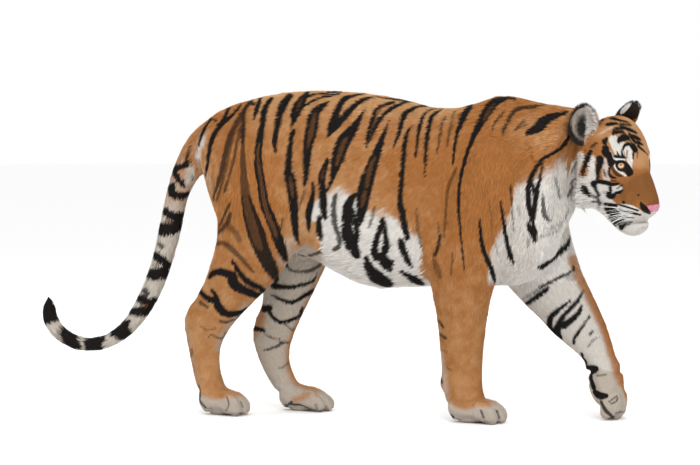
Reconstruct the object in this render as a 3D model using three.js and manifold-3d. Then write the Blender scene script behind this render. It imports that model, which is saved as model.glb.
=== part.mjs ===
// A walking tiger as a still, life-size museum model.
// Millimetres, +X forward, +Y to the animal's left, +Z up, floor at Z = 0.
// Every fleshy part is a loft: a closed tube through stations. A station names two opposite points of
// its outline, seen from the side, and the half width between them.
import * as THREE from "three";
import { mergeVertices } from "three/addons/utils/BufferGeometryUtils.js";
import Module from "manifold-3d";

const wasm = await Module();
wasm.setup();

// ---------- driving sizes ----------
const GAP = 0.3; // between neighbouring parts
const ORIGIN_SHIFT = new THREE.Vector3(26, 1, 0); // puts the middle of the outline over the origin
const EYE_RADIUS = 18;
const EYE = { x: 12, y: 49, z: -3 }; // centre of an eyeball in the head's frame
const EYE_LOOKS = new THREE.Vector3(0.78, 0.62, -0.05).normalize();
const HEAD_PLACE = new THREE.Vector3(872, -50, 790);
const HEAD_TURN = { yaw: -32, pitch: 23, roll: 5 }; // degrees; the head looks down and to its right

// ---------- solids ----------
const deg = THREE.MathUtils.degToRad;

function solid(geometry) {
  const bare = geometry.clone();
  bare.deleteAttribute("normal");
  bare.deleteAttribute("uv");
  const merged = mergeVertices(bare, 1e-3);
  const corners = new Uint32Array(merged.index.array);
  const made = new wasm.Manifold(
    new wasm.Mesh({
      numProp: 3,
      vertProperties: merged.attributes.position.array,
      triVerts: corners,
    }),
  );
  if (made.volume() > 0) return made;
  for (let i = 0; i < corners.length; i += 3) {
    [corners[i + 1], corners[i + 2]] = [corners[i + 2], corners[i + 1]];
  }
  return new wasm.Manifold(
    new wasm.Mesh({
      numProp: 3,
      vertProperties: merged.attributes.position.array,
      triVerts: corners,
    }),
  );
}

function geometryOf(shape) {
  const mesh = shape.getMesh();
  const places = new Float32Array(mesh.numVert * 3);
  for (let i = 0; i < mesh.numVert; i++) {
    places.set(mesh.vertProperties.subarray(i * mesh.numProp, i * mesh.numProp + 3), i * 3);
  }
  const geometry = new THREE.BufferGeometry();
  geometry.setAttribute("position", new THREE.BufferAttribute(places, 3));
  geometry.setIndex(new THREE.BufferAttribute(new Uint32Array(mesh.triVerts), 1));
  geometry.computeVertexNormals();
  return geometry;
}

const join = (shapes) => shapes.reduce((all, one) => all.add(one));

function largest(shape) {
  return shape.decompose().reduce((best, one) => (one.volume() > best.volume() ? one : best));
}

// A ball stretched to three radii, turned and placed.
function ellipsoid(centre, radii, turn = null, around = 16, rows = 10) {
  const geometry = new THREE.SphereGeometry(1, around, rows).scale(...radii);
  if (turn) geometry.applyQuaternion(turn);
  return solid(geometry.translate(...centre));
}

function box(centre, size, turn = null) {
  const geometry = new THREE.BoxGeometry(...size);
  if (turn) geometry.applyQuaternion(turn);
  return solid(geometry.translate(...centre));
}

// ---------- lofts ----------
const vector = (p) => new THREE.Vector3(...p);

class Loft {
  // Each station: a and b, opposite points [x, y, z]; w, half width; mid, where along b to a it is
  // widest; n, how square the section is (2 is an ellipse). A swell lifts the surface around a place.
  constructor(stations, { around = 14, along = 16, caps = [0.06, 0.06], capRows = 3, swells = [] } = {}) {
    this.around = around;
    this.along = along;
    [this.roundStart, this.roundEnd] = caps;
    this.capRows = capRows;
    this.swells = swells;
    this.front = new THREE.CatmullRomCurve3(stations.map((s) => vector(s.a)), false, "centripetal");
    this.back = new THREE.CatmullRomCurve3(stations.map((s) => vector(s.b)), false, "centripetal");
    this.form = new THREE.CatmullRomCurve3(
      stations.map((s) => new THREE.Vector3(s.w, (s.mid ?? 0.5) * 100, (s.n ?? 2) * 100)),
      false,
      "catmullrom",
      0.5,
    );
  }

  ring(t) {
    const a = this.front.getPoint(t);
    const b = this.back.getPoint(t);
    const form = this.form.getPoint(t);
    const mid = form.y / 100;
    const centre = b.clone().lerp(a, mid);
    const step = 0.004;
    const t0 = Math.max(0, t - step);
    const t1 = Math.min(1, t + step);
    const ahead = this.front.getPoint(t1).add(this.back.getPoint(t1));
    ahead.sub(this.front.getPoint(t0)).sub(this.back.getPoint(t0));
    const side = ahead.cross(a.clone().sub(b)).normalize();
    return { a, b, centre, side, width: form.x, power: 2 / (form.z / 100) };
  }

  // The point at a share t of the length and a turn in radians, 90 degrees being the point a.
  point(t, turn, ring = this.ring(t)) {
    const bend = (value) => Math.sign(value) * Math.abs(value) ** ring.power;
    const across = bend(Math.cos(turn)) * ring.width;
    const rise = bend(Math.sin(turn));
    const edge = rise > 0 ? ring.a : ring.b;
    return ring.centre
      .clone()
      .addScaledVector(ring.side, across)
      .addScaledVector(edge.clone().sub(ring.centre), Math.abs(rise));
  }

  outward(t, turn) {
    const nudge = 0.01;
    const along = this.surface(Math.min(1, t + nudge), turn).sub(this.surface(Math.max(0, t - nudge), turn));
    const round = this.surface(t, turn + nudge).sub(this.surface(t, turn - nudge));
    const normal = along.cross(round).normalize();
    const away = this.point(t, turn).sub(this.ring(t).centre);
    return normal.dot(away) < 0 ? normal.negate() : normal;
  }

  // Rings crowd together at a rounded end and shrink onto it.
  rings() {
    const list = [];
    const cap = (share, at) => {
      for (let i = 0; i < this.capRows; i++) {
        const lift = ((i + 0.35) / this.capRows) * (Math.PI / 2);
        list.push({ t: at(share * (1 - Math.cos(lift))), scale: Math.sin(lift) });
      }
    };
    if (this.roundStart) cap(this.roundStart, (s) => s);
    const from = this.roundStart;
    const to = 1 - this.roundEnd;
    for (let i = 0; i <= this.along; i++) {
      list.push({ t: from + ((to - from) * i) / this.along, scale: 1 });
    }
    if (this.roundEnd) {
      const start = list.length;
      cap(this.roundEnd, (s) => 1 - s);
      list.push(...list.splice(start).reverse());
    }
    return list;
  }

  geometry() {
    const rings = this.rings();
    const rows = rings.length - 1;
    const tube = new THREE.CylinderGeometry(1, 1, 1, this.around, rows);
    const places = tube.attributes.position;
    for (let i = 0; i < places.count; i++) {
      const { t, scale } = rings[Math.round((0.5 - places.getY(i)) * rows)];
      const ring = this.ring(t);
      const turn = Math.atan2(places.getZ(i), places.getX(i));
      const reach = Math.min(1, Math.hypot(places.getX(i), places.getZ(i))) * scale;
      const p = ring.centre.clone().lerp(this.point(t, turn, ring), reach);
      places.setXYZ(i, ...this.swollen(p, ring.centre).toArray());
    }
    return tube;
  }

  surface(t, turn) {
    return this.swollen(this.point(t, turn), this.ring(t).centre);
  }

  swollen(p, centre) {
    let rise = 0;
    for (const { at, reach, height } of this.swells) {
      const away = Math.hypot(...p.toArray().map((value, axis) => (value - at[axis]) / reach[axis]));
      rise += height * Math.exp(-(away ** 2));
    }
    return p.addScaledVector(p.clone().sub(centre).normalize(), rise);
  }

  solid() {
    return solid(this.geometry());
  }
}

// Stations of a limb or trunk part whose outline lies in one upright plane: [ax, az, bx, bz, w, y, mid, n].
function upright(rows) {
  return rows.map(([ax, az, bx, bz, w, y = 0, mid = 0.5, n = 2]) => ({
    a: [ax, y, az],
    b: [bx, y, bz],
    w,
    mid,
    n,
  }));
}

// ---------- trunk ----------
const torso = new Loft(
  upright([
    [-492, 856, -452, 735, 46],
    [-458, 914, -414, 600, 104],
    [-400, 950, -378, 535, 138, 0, 0.55],
    [-300, 981, -298, 512, 158, 0, 0.55],
    [-192, 1001, -190, 508, 160],
    [-96, 1006, -92, 472, 166, 0, 0.48, 2.1],
    [0, 1002, 0, 418, 180, 0, 0.46, 2.1],
    [95, 991, 95, 394, 192, 0, 0.45, 2.15],
    [190, 973, 190, 400, 194, 0, 0.45, 2.15],
    [290, 948, 290, 404, 186, 0, 0.46, 2.1],
    [377, 960, 377, 408, 168, 0, 0.46, 1.95],
    [455, 989, 455, 408, 152, 0, 0.45, 1.9],
    [530, 985, 530, 410, 140, 0, 0.45, 1.95],
    [590, 965, 594, 440, 122, 0, 0.45],
    [626, 930, 638, 500, 96, 0, 0.45],
    [646, 860, 662, 580, 62],
  ]),
  { around: 20, along: 17, caps: [0.05, 0.05] },
);

const neck = new Loft(
  upright([
    [470, 980, 545, 440, 134],
    [560, 972, 610, 500, 124],
    [630, 962, 660, 572, 110, -2],
    [700, 952, 704, 630, 98, -2],
    [765, 943, 752, 645, 88, -10],
    [820, 932, 805, 670, 78, -26],
  ]),
  { around: 20, along: 8, caps: [0.08, 0.08] },
);

const tail = new Loft(
  upright([
    [-398, 945, -425, 800, 58, 0],
    [-470, 908, -448, 768, 46, 0],
    [-520, 862, -470, 742, 40, 0],
    [-562, 790, -496, 712, 36, 1],
    [-592, 700, -522, 662, 35, 3],
    [-612, 620, -538, 592, 34, 6],
    [-632, 528, -560, 508, 33, 9],
    [-660, 436, -594, 406, 32, 12],
    [-698, 352, -645, 306, 30, 14],
    [-743, 281, -711, 231, 28, 15],
    [-800, 236, -788, 184, 26, 16],
    [-862, 224, -870, 171, 25, 17],
    [-924, 243, -958, 198, 25, 18],
    [-962, 288, -1015, 264, 25, 18],
    [-966, 352, -1020, 346, 24, 18],
  ]),
  { around: 10, along: 30, caps: [0.02, 0.045] },
);

// ---------- legs ----------
const legForms = {
  front_right: upright([
    [520, 880, 350, 860, 62, -84],
    [562, 770, 318, 740, 78, -98],
    [568, 660, 292, 630, 84, -108],
    [530, 545, 272, 515, 86, -110, 0.5, 2.1],
    [477, 425, 277, 420, 76, -104, 0.5, 2.1],
    [455, 335, 291, 322, 63, -97],
    [444, 250, 301, 232, 56, -91],
    [436, 170, 306, 152, 51, -87],
    [436, 105, 316, 90, 53, -86],
    [446, 52, 330, 42, 50, -86],
  ]),
  front_left: upright([
    [575, 880, 400, 850, 62, 84],
    [618, 790, 380, 720, 78, 98],
    [648, 680, 390, 590, 84, 106],
    [672, 560, 432, 456, 84, 108, 0.5, 2.1],
    [709, 445, 496, 378, 74, 106, 0.5, 2.1],
    [756, 352, 560, 315, 63, 104],
    [790, 272, 620, 254, 56, 102],
    [813, 196, 688, 202, 50, 100],
    [821, 143, 730, 162, 48, 100],
    [832, 104, 748, 108, 44, 100],
  ]),
  hind_right: upright([
    [-215, 920, -415, 870, 58, -70],
    [-135, 790, -416, 770, 82, -92],
    [-98, 640, -400, 650, 88, -106],
    [-125, 540, -395, 560, 82, -110],
    [-190, 445, -415, 478, 70, -108],
    [-252, 375, -444, 402, 55, -103],
    [-318, 310, -488, 345, 45, -98],
    [-368, 250, -508, 297, 39, -94],
    [-390, 190, -500, 225, 38, -90],
    [-387, 132, -484, 148, 40, -88],
    [-374, 84, -466, 82, 43, -87],
    [-350, 48, -436, 48, 40, -87],
  ]),
  hind_left: upright([
    [-190, 920, -400, 870, 58, 70],
    [-100, 790, -400, 770, 82, 92],
    [-50, 640, -366, 640, 88, 104],
    [-62, 545, -340, 540, 82, 106],
    [-98, 462, -322, 450, 70, 102],
    [-128, 396, -310, 385, 55, 96],
    [-160, 325, -316, 325, 45, 90],
    [-194, 250, -338, 262, 39, 86],
    [-214, 190, -336, 208, 38, 83],
    [-210, 140, -313, 148, 40, 81],
    [-186, 84, -278, 84, 43, 80],
    [-154, 48, -245, 48, 40, 80],
  ]),
};
const legs = Object.fromEntries(
  Object.entries(legForms).map(([name, stations]) => [name, new Loft(stations, { caps: [0.05, 0.05] })]),
);

// A paw in its own frame: the ankle is at the origin, toes point along +X and the sole faces -Z.
// drop is the ankle's height over the sole.
function paw({ length, width, drop }) {
  const toeWidth = width / 4.1;
  const coarse = { around: 6, along: 3, capRows: 1 };
  const pieces = [
    // The instep, from the ankle to the knuckles, and the large pad under it.
    new Loft(
      upright([
        [-40, 20, -46, -drop * 0.5, width * 0.31],
        [2, 12, -36, -drop + 8, width * 0.38],
        [44, -6, 0, -drop + 6, width * 0.44],
        [length * 0.45, -16, length * 0.3, -drop + 6, width * 0.44],
        [length * 0.6, -32, length * 0.5, -drop + 10, width * 0.4],
      ]),
      { around: 10, along: 4, caps: [0.1, 0.12], capRows: 2 },
    ).solid(),
    ellipsoid([length * 0.16, 0, -drop + 10], [length * 0.27, width * 0.3, 15], null, 10, 5),
  ];
  for (const place of [-1.5, -0.5, 0.5, 1.5]) {
    const reach = length * (Math.abs(place) < 1 ? 0.76 : 0.66);
    const spread = place * toeWidth * 1.04;
    const start = spread * 0.84;
    const toe = [
      { a: [reach * 0.34, start, -12], b: [reach * 0.3, start, -drop + 12], w: toeWidth * 0.46 },
      { a: [reach * 0.6, spread, -12], b: [reach * 0.56, spread, -drop + 8], w: toeWidth * 0.54 },
      { a: [reach * 0.86, spread, -24], b: [reach * 0.74, spread, -drop], w: toeWidth * 0.57 },
      { a: [reach, spread, -48], b: [reach * 0.92, spread, -drop - 2], w: toeWidth * 0.52 },
      { a: [reach * 1.02, spread, -drop + 26], b: [reach, spread, -drop + 2], w: toeWidth * 0.42 },
    ];
    pieces.push(new Loft(toe, { ...coarse, caps: [0.12, 0.16] }).solid());
  }
  return join(pieces);
}

// Ankle places and how far each paw is tipped toes down, in degrees.
const paws = {
  front_right: { at: [376, -86, 84], tip: 0, form: { length: 172, width: 140, drop: 84 } },
  front_left: { at: [826, 100, 141], tip: 64, form: { length: 164, width: 138, drop: 102 } },
  hind_right: { at: [-414, -87, 88], tip: 0, form: { length: 146, width: 122, drop: 88 } },
  hind_left: { at: [-202, 80, 80], tip: 0, form: { length: 166, width: 124, drop: 80 } },
};

function placedPaw({ at, tip, form }) {
  return paw(form).rotate([0, tip, 0]).translate(at);
}

// The small bare pad behind each front wrist.
const wristPads = [
  ellipsoid([314, -92, 118], [16, 17, 26], null, 10, 6),
  ellipsoid([730, 100, 168], [20, 17, 22], null, 10, 6),
];

// ---------- head, in its own frame: origin between the eyes ----------
const sides = { right: -1, left: 1 };
const mirrored = (p, side) => [p[0], p[1] * side, p[2]];

// Both sides of the face: place, reach along each axis, height.
const FACE = {
  brow: [[20, 40, 30], [24, 24, 16], 7],
  socket: [[34, 48, -6], [22, 20, 16], -12],
  innerCorner: [[46, 26, -22], [20, 14, 22], -7],
  cheekbone: [[-14, 96, -40], [46, 40, 28], 6],
  cheek: [[-40, 96, -108], [52, 46, 46], 13],
  hollow: [[40, 62, -84], [22, 26, 26], -6],
  whiskerPad: [[92, 38, -126], [34, 28, 22], 10],
  bridge: [[86, 22, -46], [36, 12, 26], 4],
};
const faceSwells = Object.values(FACE).flatMap(([at, reach, height]) =>
  Object.values(sides).map((side) => ({ at: mirrored(at, side), reach, height })),
);

const skull = new Loft(
  upright([
    [-170, 50, -172, -64, 62],
    [-122, 98, -132, -122, 92],
    [-72, 117, -86, -150, 108, 0, 0.48],
    [-26, 101, -38, -156, 112, 0, 0.46],
    [14, 66, -6, -154, 104, 0, 0.45],
    [44, 32, 10, -152, 86, 0, 0.42],
    [70, 0, 26, -150, 68, 0, 0.36, 2.2],
    [96, -32, 48, -148, 60, 0, 0.32, 2.3],
    [122, -60, 76, -146, 56, 0, 0.32, 2.3],
    [136, -82, 104, -140, 48, 0, 0.34, 2.3],
    [141, -100, 126, -132, 34, 0, 0.4, 2.3],
  ]),
  { around: 24, along: 20, caps: [0.05, 0.05], swells: faceSwells },
);

const jaw = new Loft(
  upright([
    [-90, -100, -96, -156, 66],
    [-40, -108, -48, -174, 68],
    [8, -118, -10, -184, 62],
    [50, -132, 30, -198, 52],
    [82, -138, 66, -205, 44, 0, 0.5, 2.2],
    [110, -144, 98, -198, 35, 0, 0.5, 2.2],
    [122, -152, 115, -180, 24],
  ]),
  { around: 16, along: 10, caps: [0.08, 0.08] },
);

const eyePlace = (side) => vector(mirrored([EYE.x, EYE.y, EYE.z], side));
const eyeLooks = (side) => vector(mirrored(EYE_LOOKS.toArray(), side));

// Turns +X to a direction, then spins about it.
function facing(direction, spin = 0) {
  const turn = new THREE.Quaternion().setFromUnitVectors(new THREE.Vector3(1, 0, 0), direction);
  return turn.multiply(new THREE.Quaternion().setFromAxisAngle(new THREE.Vector3(1, 0, 0), spin));
}

const LID = { thickness: 4.5, length: 18, height: 9.5, tilt: deg(24) };

function eyelids(side) {
  const rim = EYE_RADIUS + LID.thickness;
  return ellipsoid(eyePlace(side).toArray(), [rim, rim, rim], null, 18, 12);
}

// The almond between the lids, pointed at both corners and lower at the nose.
function eyeSlit(side) {
  const almond = [0, 40].map((out) => ({
    a: [out, 0, LID.height],
    b: [out, 0, -LID.height],
    w: LID.length,
    n: 1.45,
  }));
  const cutter = new Loft(almond, { around: 16, along: 1, caps: [0, 0] }).geometry();
  cutter.applyQuaternion(facing(eyeLooks(side), LID.tilt * side));
  return solid(cutter.translate(...eyePlace(side).toArray()));
}

function eyeball(side, radius = EYE_RADIUS) {
  return ellipsoid(eyePlace(side).toArray(), [radius, radius, radius], null, 14, 8);
}

// ---------- ears ----------
const EAR = { depth: 32, height: 63, flare: 0.3, wall: 5 };
const earPoses = {
  right: { at: [-128, -92, 72], opens: [0.58, -0.8, 0.08], lean: deg(12), width: 44 },
  left: { at: [-110, 78, 92], opens: [0.1, 1, 0.1], lean: deg(35), width: 33 },
};

function earShape({ at, opens, lean, width: fullWidth }, shrink, out) {
  const shape = new THREE.SphereGeometry(1, 14, 9);
  const places = shape.attributes.position;
  const [depth, width, height] = [EAR.depth, fullWidth, EAR.height].map((radius) => radius - shrink);
  for (let i = 0; i < places.count; i++) {
    const flare = 1 + EAR.flare * Math.max(0, -places.getZ(i));
    places.setXYZ(i, places.getX(i) * depth, places.getY(i) * width * flare, places.getZ(i) * height);
  }
  const looks = vector(opens).normalize();
  shape.applyQuaternion(facing(looks, lean));
  return solid(shape.translate(...vector(at).addScaledVector(looks, out).toArray()));
}

function ear(pose) {
  const looks = vector(pose.opens).normalize();
  const front = vector(pose.at).addScaledVector(looks, 52);
  return earShape(pose, 0, 0)
    .subtract(earShape(pose, EAR.wall, EAR.wall))
    .subtract(box(front.toArray(), [100, 200, 200], facing(looks)));
}

// ---------- nose ----------
const NOSE = { at: [130, 0, -97], radii: [19, 28, 22] };

function nosePad(growth = 0) {
  const shape = new THREE.SphereGeometry(1, 12, 8);
  const places = shape.attributes.position;
  for (let i = 0; i < places.count; i++) {
    const up = places.getZ(i);
    const taper = 0.66 + 0.34 * Math.min(1, (up + 1) * 0.75);
    const notch = 1 - 0.14 * Math.exp(-((places.getY(i) / 0.25) ** 2)) * Math.max(0, up);
    places.setXYZ(
      i,
      places.getX(i) * (NOSE.radii[0] + growth),
      places.getY(i) * (NOSE.radii[1] + growth) * taper,
      up * (NOSE.radii[2] + growth) * notch,
    );
  }
  const turn = new THREE.Quaternion().setFromAxisAngle(new THREE.Vector3(0, 1, 0), deg(22));
  return solid(shape.applyQuaternion(turn).translate(...NOSE.at));
}

function nostrils() {
  return join(
    Object.values(sides).flatMap((side) => [
      ellipsoid(mirrored([146, 13, -105], side), [12, 7, 6], null, 8, 6),
      ellipsoid(mirrored([137, 25, -99], side), [10, 8, 4.5], null, 8, 6),
    ]),
  );
}

// ---------- cheek ruff ----------
// Flat tapered locks in tiers behind the cheek, rooted in the skull and lying back and down.
const RUFF = { tiers: 3, locks: 7, length: 66, width: 30, thickness: 5, sink: 8 };

function lock(root, outward, lie, length, width, thickness) {
  const across = outward.clone().cross(lie).normalize();
  const droop = new THREE.Vector3(0, 0, -1);
  const stations = [
    [0, -RUFF.sink, 0, 0.8],
    [0.34, 5, 0, 1],
    [0.7, 8, 0.05, 0.7],
    [1, 4, 0.16, 0.1],
  ].map(([share, lift, sag, taper]) => {
    const centre = root
      .clone()
      .addScaledVector(lie, share * length)
      .addScaledVector(outward, lift)
      .addScaledVector(droop, sag * length);
    const half = across.clone().multiplyScalar((width / 2) * taper);
    return {
      a: centre.clone().add(half).toArray(),
      b: centre.clone().sub(half).toArray(),
      w: (thickness / 2) * (0.4 + 0.6 * taper),
    };
  });
  return new Loft(stations, { around: 4, along: 3, caps: [0, 0] }).solid();
}

function seeded(seed) {
  let state = seed;
  return () => {
    state = (state * 1664525 + 1013904223) % 4294967296;
    return state / 4294967296;
  };
}

function ruff(side) {
  const draw = seeded(side > 0 ? 11 : 29);
  const locks = [];
  for (let tier = 0; tier < RUFF.tiers; tier++) {
    for (let i = 0; i < RUFF.locks; i++) {
      const down = (i + 0.5 * (tier % 2) + draw() * 0.3) / RUFF.locks;
      const t = 0.36 - tier * 0.05 + 0.02 * draw();
      const turn = deg(8 - down * 84);
      const sideTurn = side > 0 ? Math.PI - turn : turn;
      const root = skull.surface(t, sideTurn);
      const outward = skull.outward(t, sideTurn);
      const lie = new THREE.Vector3(-0.86, 0, -0.4 - 0.25 * down);
      lie.addScaledVector(outward, -lie.dot(outward)).normalize();
      lie.addScaledVector(outward, 0.24).normalize();
      const length = RUFF.length * (0.8 + 0.3 * draw());
      locks.push(lock(root, outward, lie, length, RUFF.width * (0.85 + 0.3 * draw()), RUFF.thickness));
    }
  }
  return locks;
}

// ---------- putting the head together ----------
const headTurn = new THREE.Quaternion().setFromEuler(
  new THREE.Euler(deg(HEAD_TURN.roll), deg(HEAD_TURN.pitch), deg(HEAD_TURN.yaw), "ZYX"),
);
const headMatrix = new THREE.Matrix4().compose(HEAD_PLACE, headTurn, new THREE.Vector3(1, 1, 1));
const onBody = (shape) => solid(geometryOf(shape).applyMatrix4(headMatrix));

const MOUTH = { front: [126, -141], corner: [44, -162], thickness: 1.6 };
const mouthSlope = Math.atan2(MOUTH.front[1] - MOUTH.corner[1], MOUTH.front[0] - MOUTH.corner[0]);
const mouthTurn = new THREE.Quaternion().setFromAxisAngle(new THREE.Vector3(0, 1, 0), -mouthSlope);

// Everything in front of the mouth's corner and under its line, moved down and forward.
function belowMouth(drop, ahead) {
  const size = [200, 260, 120];
  const centre = new THREE.Vector3(size[0] / 2 + ahead, 0, -size[2] / 2 - drop).applyQuaternion(mouthTurn);
  centre.add(new THREE.Vector3(MOUTH.corner[0] - 24, 0, MOUTH.corner[1]));
  return box(centre.toArray(), size, mouthTurn);
}

const chin = jaw.solid();
const jawRoom = belowMouth(0, 0);
const lowerJaw = largest(chin.intersect(belowMouth(MOUTH.thickness, GAP)));
const headFlesh = join([skull.solid(), chin, ...Object.values(sides).map(eyelids)]).subtract(jawRoom);

// ---------- cutting the body into parts ----------
// A region is a box with a growth; what lies inside it becomes the part, and the rest keeps GAP to it.
function region(centre, size, pitch = 0, yaw = 0) {
  const turn = new THREE.Quaternion().setFromEuler(new THREE.Euler(0, deg(pitch), deg(yaw), "ZYX"));
  return (growth) =>
    box(
      centre,
      size.map((s) => s + 2 * growth),
      turn,
    );
}

const floorCut = box([0, 0, -100], [3000, 1000, 200]);
let flesh = join([
  torso.solid(),
  neck.solid(),
  tail.solid(),
  onBody(headFlesh),
  ...Object.values(legs).map((leg) => leg.solid()),
  ...Object.values(paws).map(placedPaw),
  ...wristPads,
]).subtract(floorCut);

const parts = new Map();

function carve(name, area) {
  parts.set(name, largest(flesh.intersect(area(0))));
  flesh = largest(flesh.subtract(area(GAP)));
}

const headArea = region([905, -30, 770], [400, 600, 700], 8, -22);
carve("head", headArea);
carve("paw_front_right", region([420, -90, 20], [300, 200, 150]));
carve("paw_front_left", region([800, 100, 0], [260, 200, 280], 20));
carve("paw_hind_right", region([-380, -90, 10], [300, 200, 150]));
carve("paw_hind_left", region([-170, 80, 10], [300, 200, 150]));
carve("foreleg_right", region([390, -130, 160], [300, 260, 500]));
carve("foreleg_left", region([640, 130, 190], [560, 260, 480]));
carve("hindleg_right", region([-360, -130, 230], [360, 256, 400]));
carve("hindleg_left", region([-190, 130, 230], [420, 256, 400]));
carve("thigh_right", region([-280, -152, 470], [460, 300, 300]));
carve("thigh_left", region([-250, 152, 470], [460, 300, 300]));
carve("upper_arm_right", region([430, -175, 560], [330, 210, 310]));
carve("upper_arm_left", region([560, 175, 560], [380, 210, 310]));
carve("tail_tip", region([-1020, 0, 300], [340, 400, 400]));
carve("tail_end", region([-900, 0, 200], [460, 400, 320]));
carve("tail_middle", region([-700, 0, 420], [400, 400, 420]));
carve("tail_root", region([-670, 0, 750], [340, 400, 420]));
carve("hindquarters", region([-400, 0, 760], [520, 600, 700]));
carve("loin", region([0, 0, 760], [300, 600, 1000]));
carve("neck", region([850, 0, 800], [520, 600, 700], 20));
parts.set("chest", flesh);

// The head keeps its locks inside its own part, and leaves room for the eyes, nose and ears.
const sockets = join([
  ...Object.values(sides).map((side) => eyeball(side, EYE_RADIUS + 1.2 * GAP)),
  ...Object.values(sides).map(eyeSlit),
  nosePad(1.5 * GAP),
]);
const locks = join(Object.values(sides).flatMap(ruff)).subtract(jawRoom);
const maned = parts.get("head").add(onBody(locks).intersect(headArea(-GAP)));
parts.set("head", largest(maned.subtract(onBody(sockets))));
parts.set("lower_jaw", onBody(lowerJaw));

// What the ears stand on, a hair larger, so that an ear's foot follows it at the gap.
function roomAround(shape) {
  const grown = 1 + GAP / 45;
  const centre = HEAD_PLACE.toArray();
  const back = centre.map((value) => -value);
  return shape.translate(back).scale([grown, grown, grown]).translate(centre);
}
const underEars = roomAround(parts.get("head").add(parts.get("neck")));

// ---------- the scene ----------
const ORANGE = 0xb9702c;
const BLACK = 0x14110f;
const looks = {
  coat: new THREE.MeshStandardMaterial({ color: ORANGE, roughness: 0.85 }),
  dark: new THREE.MeshStandardMaterial({ color: BLACK, roughness: 0.6 }),
  nose: new THREE.MeshStandardMaterial({ color: 0xd98a94, roughness: 0.5 }),
  eye: new THREE.MeshStandardMaterial({ color: 0xc89a55, roughness: 0.1 }),
};

const tiger = new THREE.Group();
const body = new THREE.Group();
body.position.copy(ORIGIN_SHIFT);
tiger.add(body);

function add(name, shape, look) {
  const mesh = new THREE.Mesh(geometryOf(shape), look);
  mesh.name = name;
  body.add(mesh);
}

for (const [name, shape] of parts) add(name, shape, looks.coat);
add("nose_pad", onBody(largest(nosePad().subtract(nostrils()))), looks.nose);
for (const [name, side] of Object.entries(sides)) {
  add(`eye_${name}`, onBody(eyeball(side)), looks.eye);
  add(`ear_${name}`, largest(onBody(ear(earPoses[name])).subtract(underEars)), looks.dark);
}

export default tiger;
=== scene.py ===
"""The looks of a walking tiger: one skin with its coat, face, ears and whiskers, in a pale studio."""
import bmesh
import bpy
import math
import numpy as np
from bpy.props import FloatProperty, FloatVectorProperty, PointerProperty
from contextlib import contextmanager
from mathutils import Matrix, Vector
from mathutils.bvhtree import BVHTree


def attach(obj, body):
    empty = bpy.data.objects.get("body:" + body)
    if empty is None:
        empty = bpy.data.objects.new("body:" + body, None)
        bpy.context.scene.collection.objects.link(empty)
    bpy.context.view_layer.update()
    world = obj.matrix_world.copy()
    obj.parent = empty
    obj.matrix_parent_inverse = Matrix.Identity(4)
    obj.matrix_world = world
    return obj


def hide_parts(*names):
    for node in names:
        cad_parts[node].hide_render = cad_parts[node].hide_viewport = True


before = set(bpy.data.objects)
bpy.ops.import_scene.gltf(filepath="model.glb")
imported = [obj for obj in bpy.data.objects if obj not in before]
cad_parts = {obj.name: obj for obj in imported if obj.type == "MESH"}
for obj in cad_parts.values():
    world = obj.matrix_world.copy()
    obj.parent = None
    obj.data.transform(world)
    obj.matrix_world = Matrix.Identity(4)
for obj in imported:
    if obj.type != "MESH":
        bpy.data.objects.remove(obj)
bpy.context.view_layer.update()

bl_info = {
    "name": "Walking Tiger",
    "version": (1, 0, 0),
    "blender": (4, 5, 0),
    "location": "View3D > Sidebar > Tiger",
    "description": "Builds a tiger's skin, coat, face and studio around its packed solids",
    "category": "Object",
}

MM = 0.001
BODY = "root"
SEED = 7
FRAME_SIZE = (700, 465)
SENSOR = 0.036


# ---------------------------------------------------------------- places on the animal
HEAD = (
    Matrix.Translation((0.898, -0.049, 0.790))
    @ Matrix.Rotation(math.radians(-32), 4, "Z")
    @ Matrix.Rotation(math.radians(23), 4, "Y")
    @ Matrix.Rotation(math.radians(5), 4, "X")
)
EYE_PLACE = (0.012, 0.049, -0.003)
EYE_RADIUS = 0.018
LID_LOOK = Vector((0.62, 0.64, 0.43)).normalized()
LID = {"length": 0.0168, "height": 0.0136, "tilt": math.radians(24), "power": 1.7, "radius": 0.0212}
MOUTH = {"front": (0.126, -0.141), "corner": (0.044, -0.162)}
# The middle of the head and how far from it the head reaches, in its own frame. Millimetres.
HEAD_MIDDLE = (0, 0, -30)
HEAD_REACH = 215
# The lifted paw lies ahead of and left of these places.
LIFTED_PAW = (0.74, 0.02)

# Stations of the skull and the jaw: two opposite points of the outline seen from the side, the half
# width between them, where along the way it is widest, and how square the section is. Millimetres.
SKULL = [
    (-170, 50, -172, -64, 62, 0.5, 2.0),
    (-122, 98, -132, -122, 92, 0.5, 2.0),
    (-72, 117, -86, -150, 108, 0.48, 2.0),
    (-26, 101, -38, -156, 109, 0.46, 2.0),
    (14, 66, -6, -154, 97, 0.45, 2.0),
    (44, 32, 10, -152, 78, 0.42, 2.0),
    (70, 0, 26, -150, 61, 0.36, 2.2),
    (96, -32, 48, -148, 57, 0.32, 2.3),
    (122, -60, 76, -146, 54, 0.32, 2.3),
    (133, -80, 98, -141, 46, 0.34, 2.3),
    (133, -96, 110, -133, 34, 0.4, 2.3),
]
JAW = [
    (-90, -100, -96, -156, 66, 0.5, 2.0),
    (-40, -108, -48, -174, 68, 0.5, 2.0),
    (8, -118, -10, -184, 62, 0.5, 2.0),
    (50, -132, 30, -198, 52, 0.5, 2.0),
    (82, -138, 66, -205, 44, 0.5, 2.2),
    (110, -144, 98, -198, 35, 0.5, 2.2),
    (122, -152, 115, -180, 24, 0.5, 2.0),
]
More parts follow.
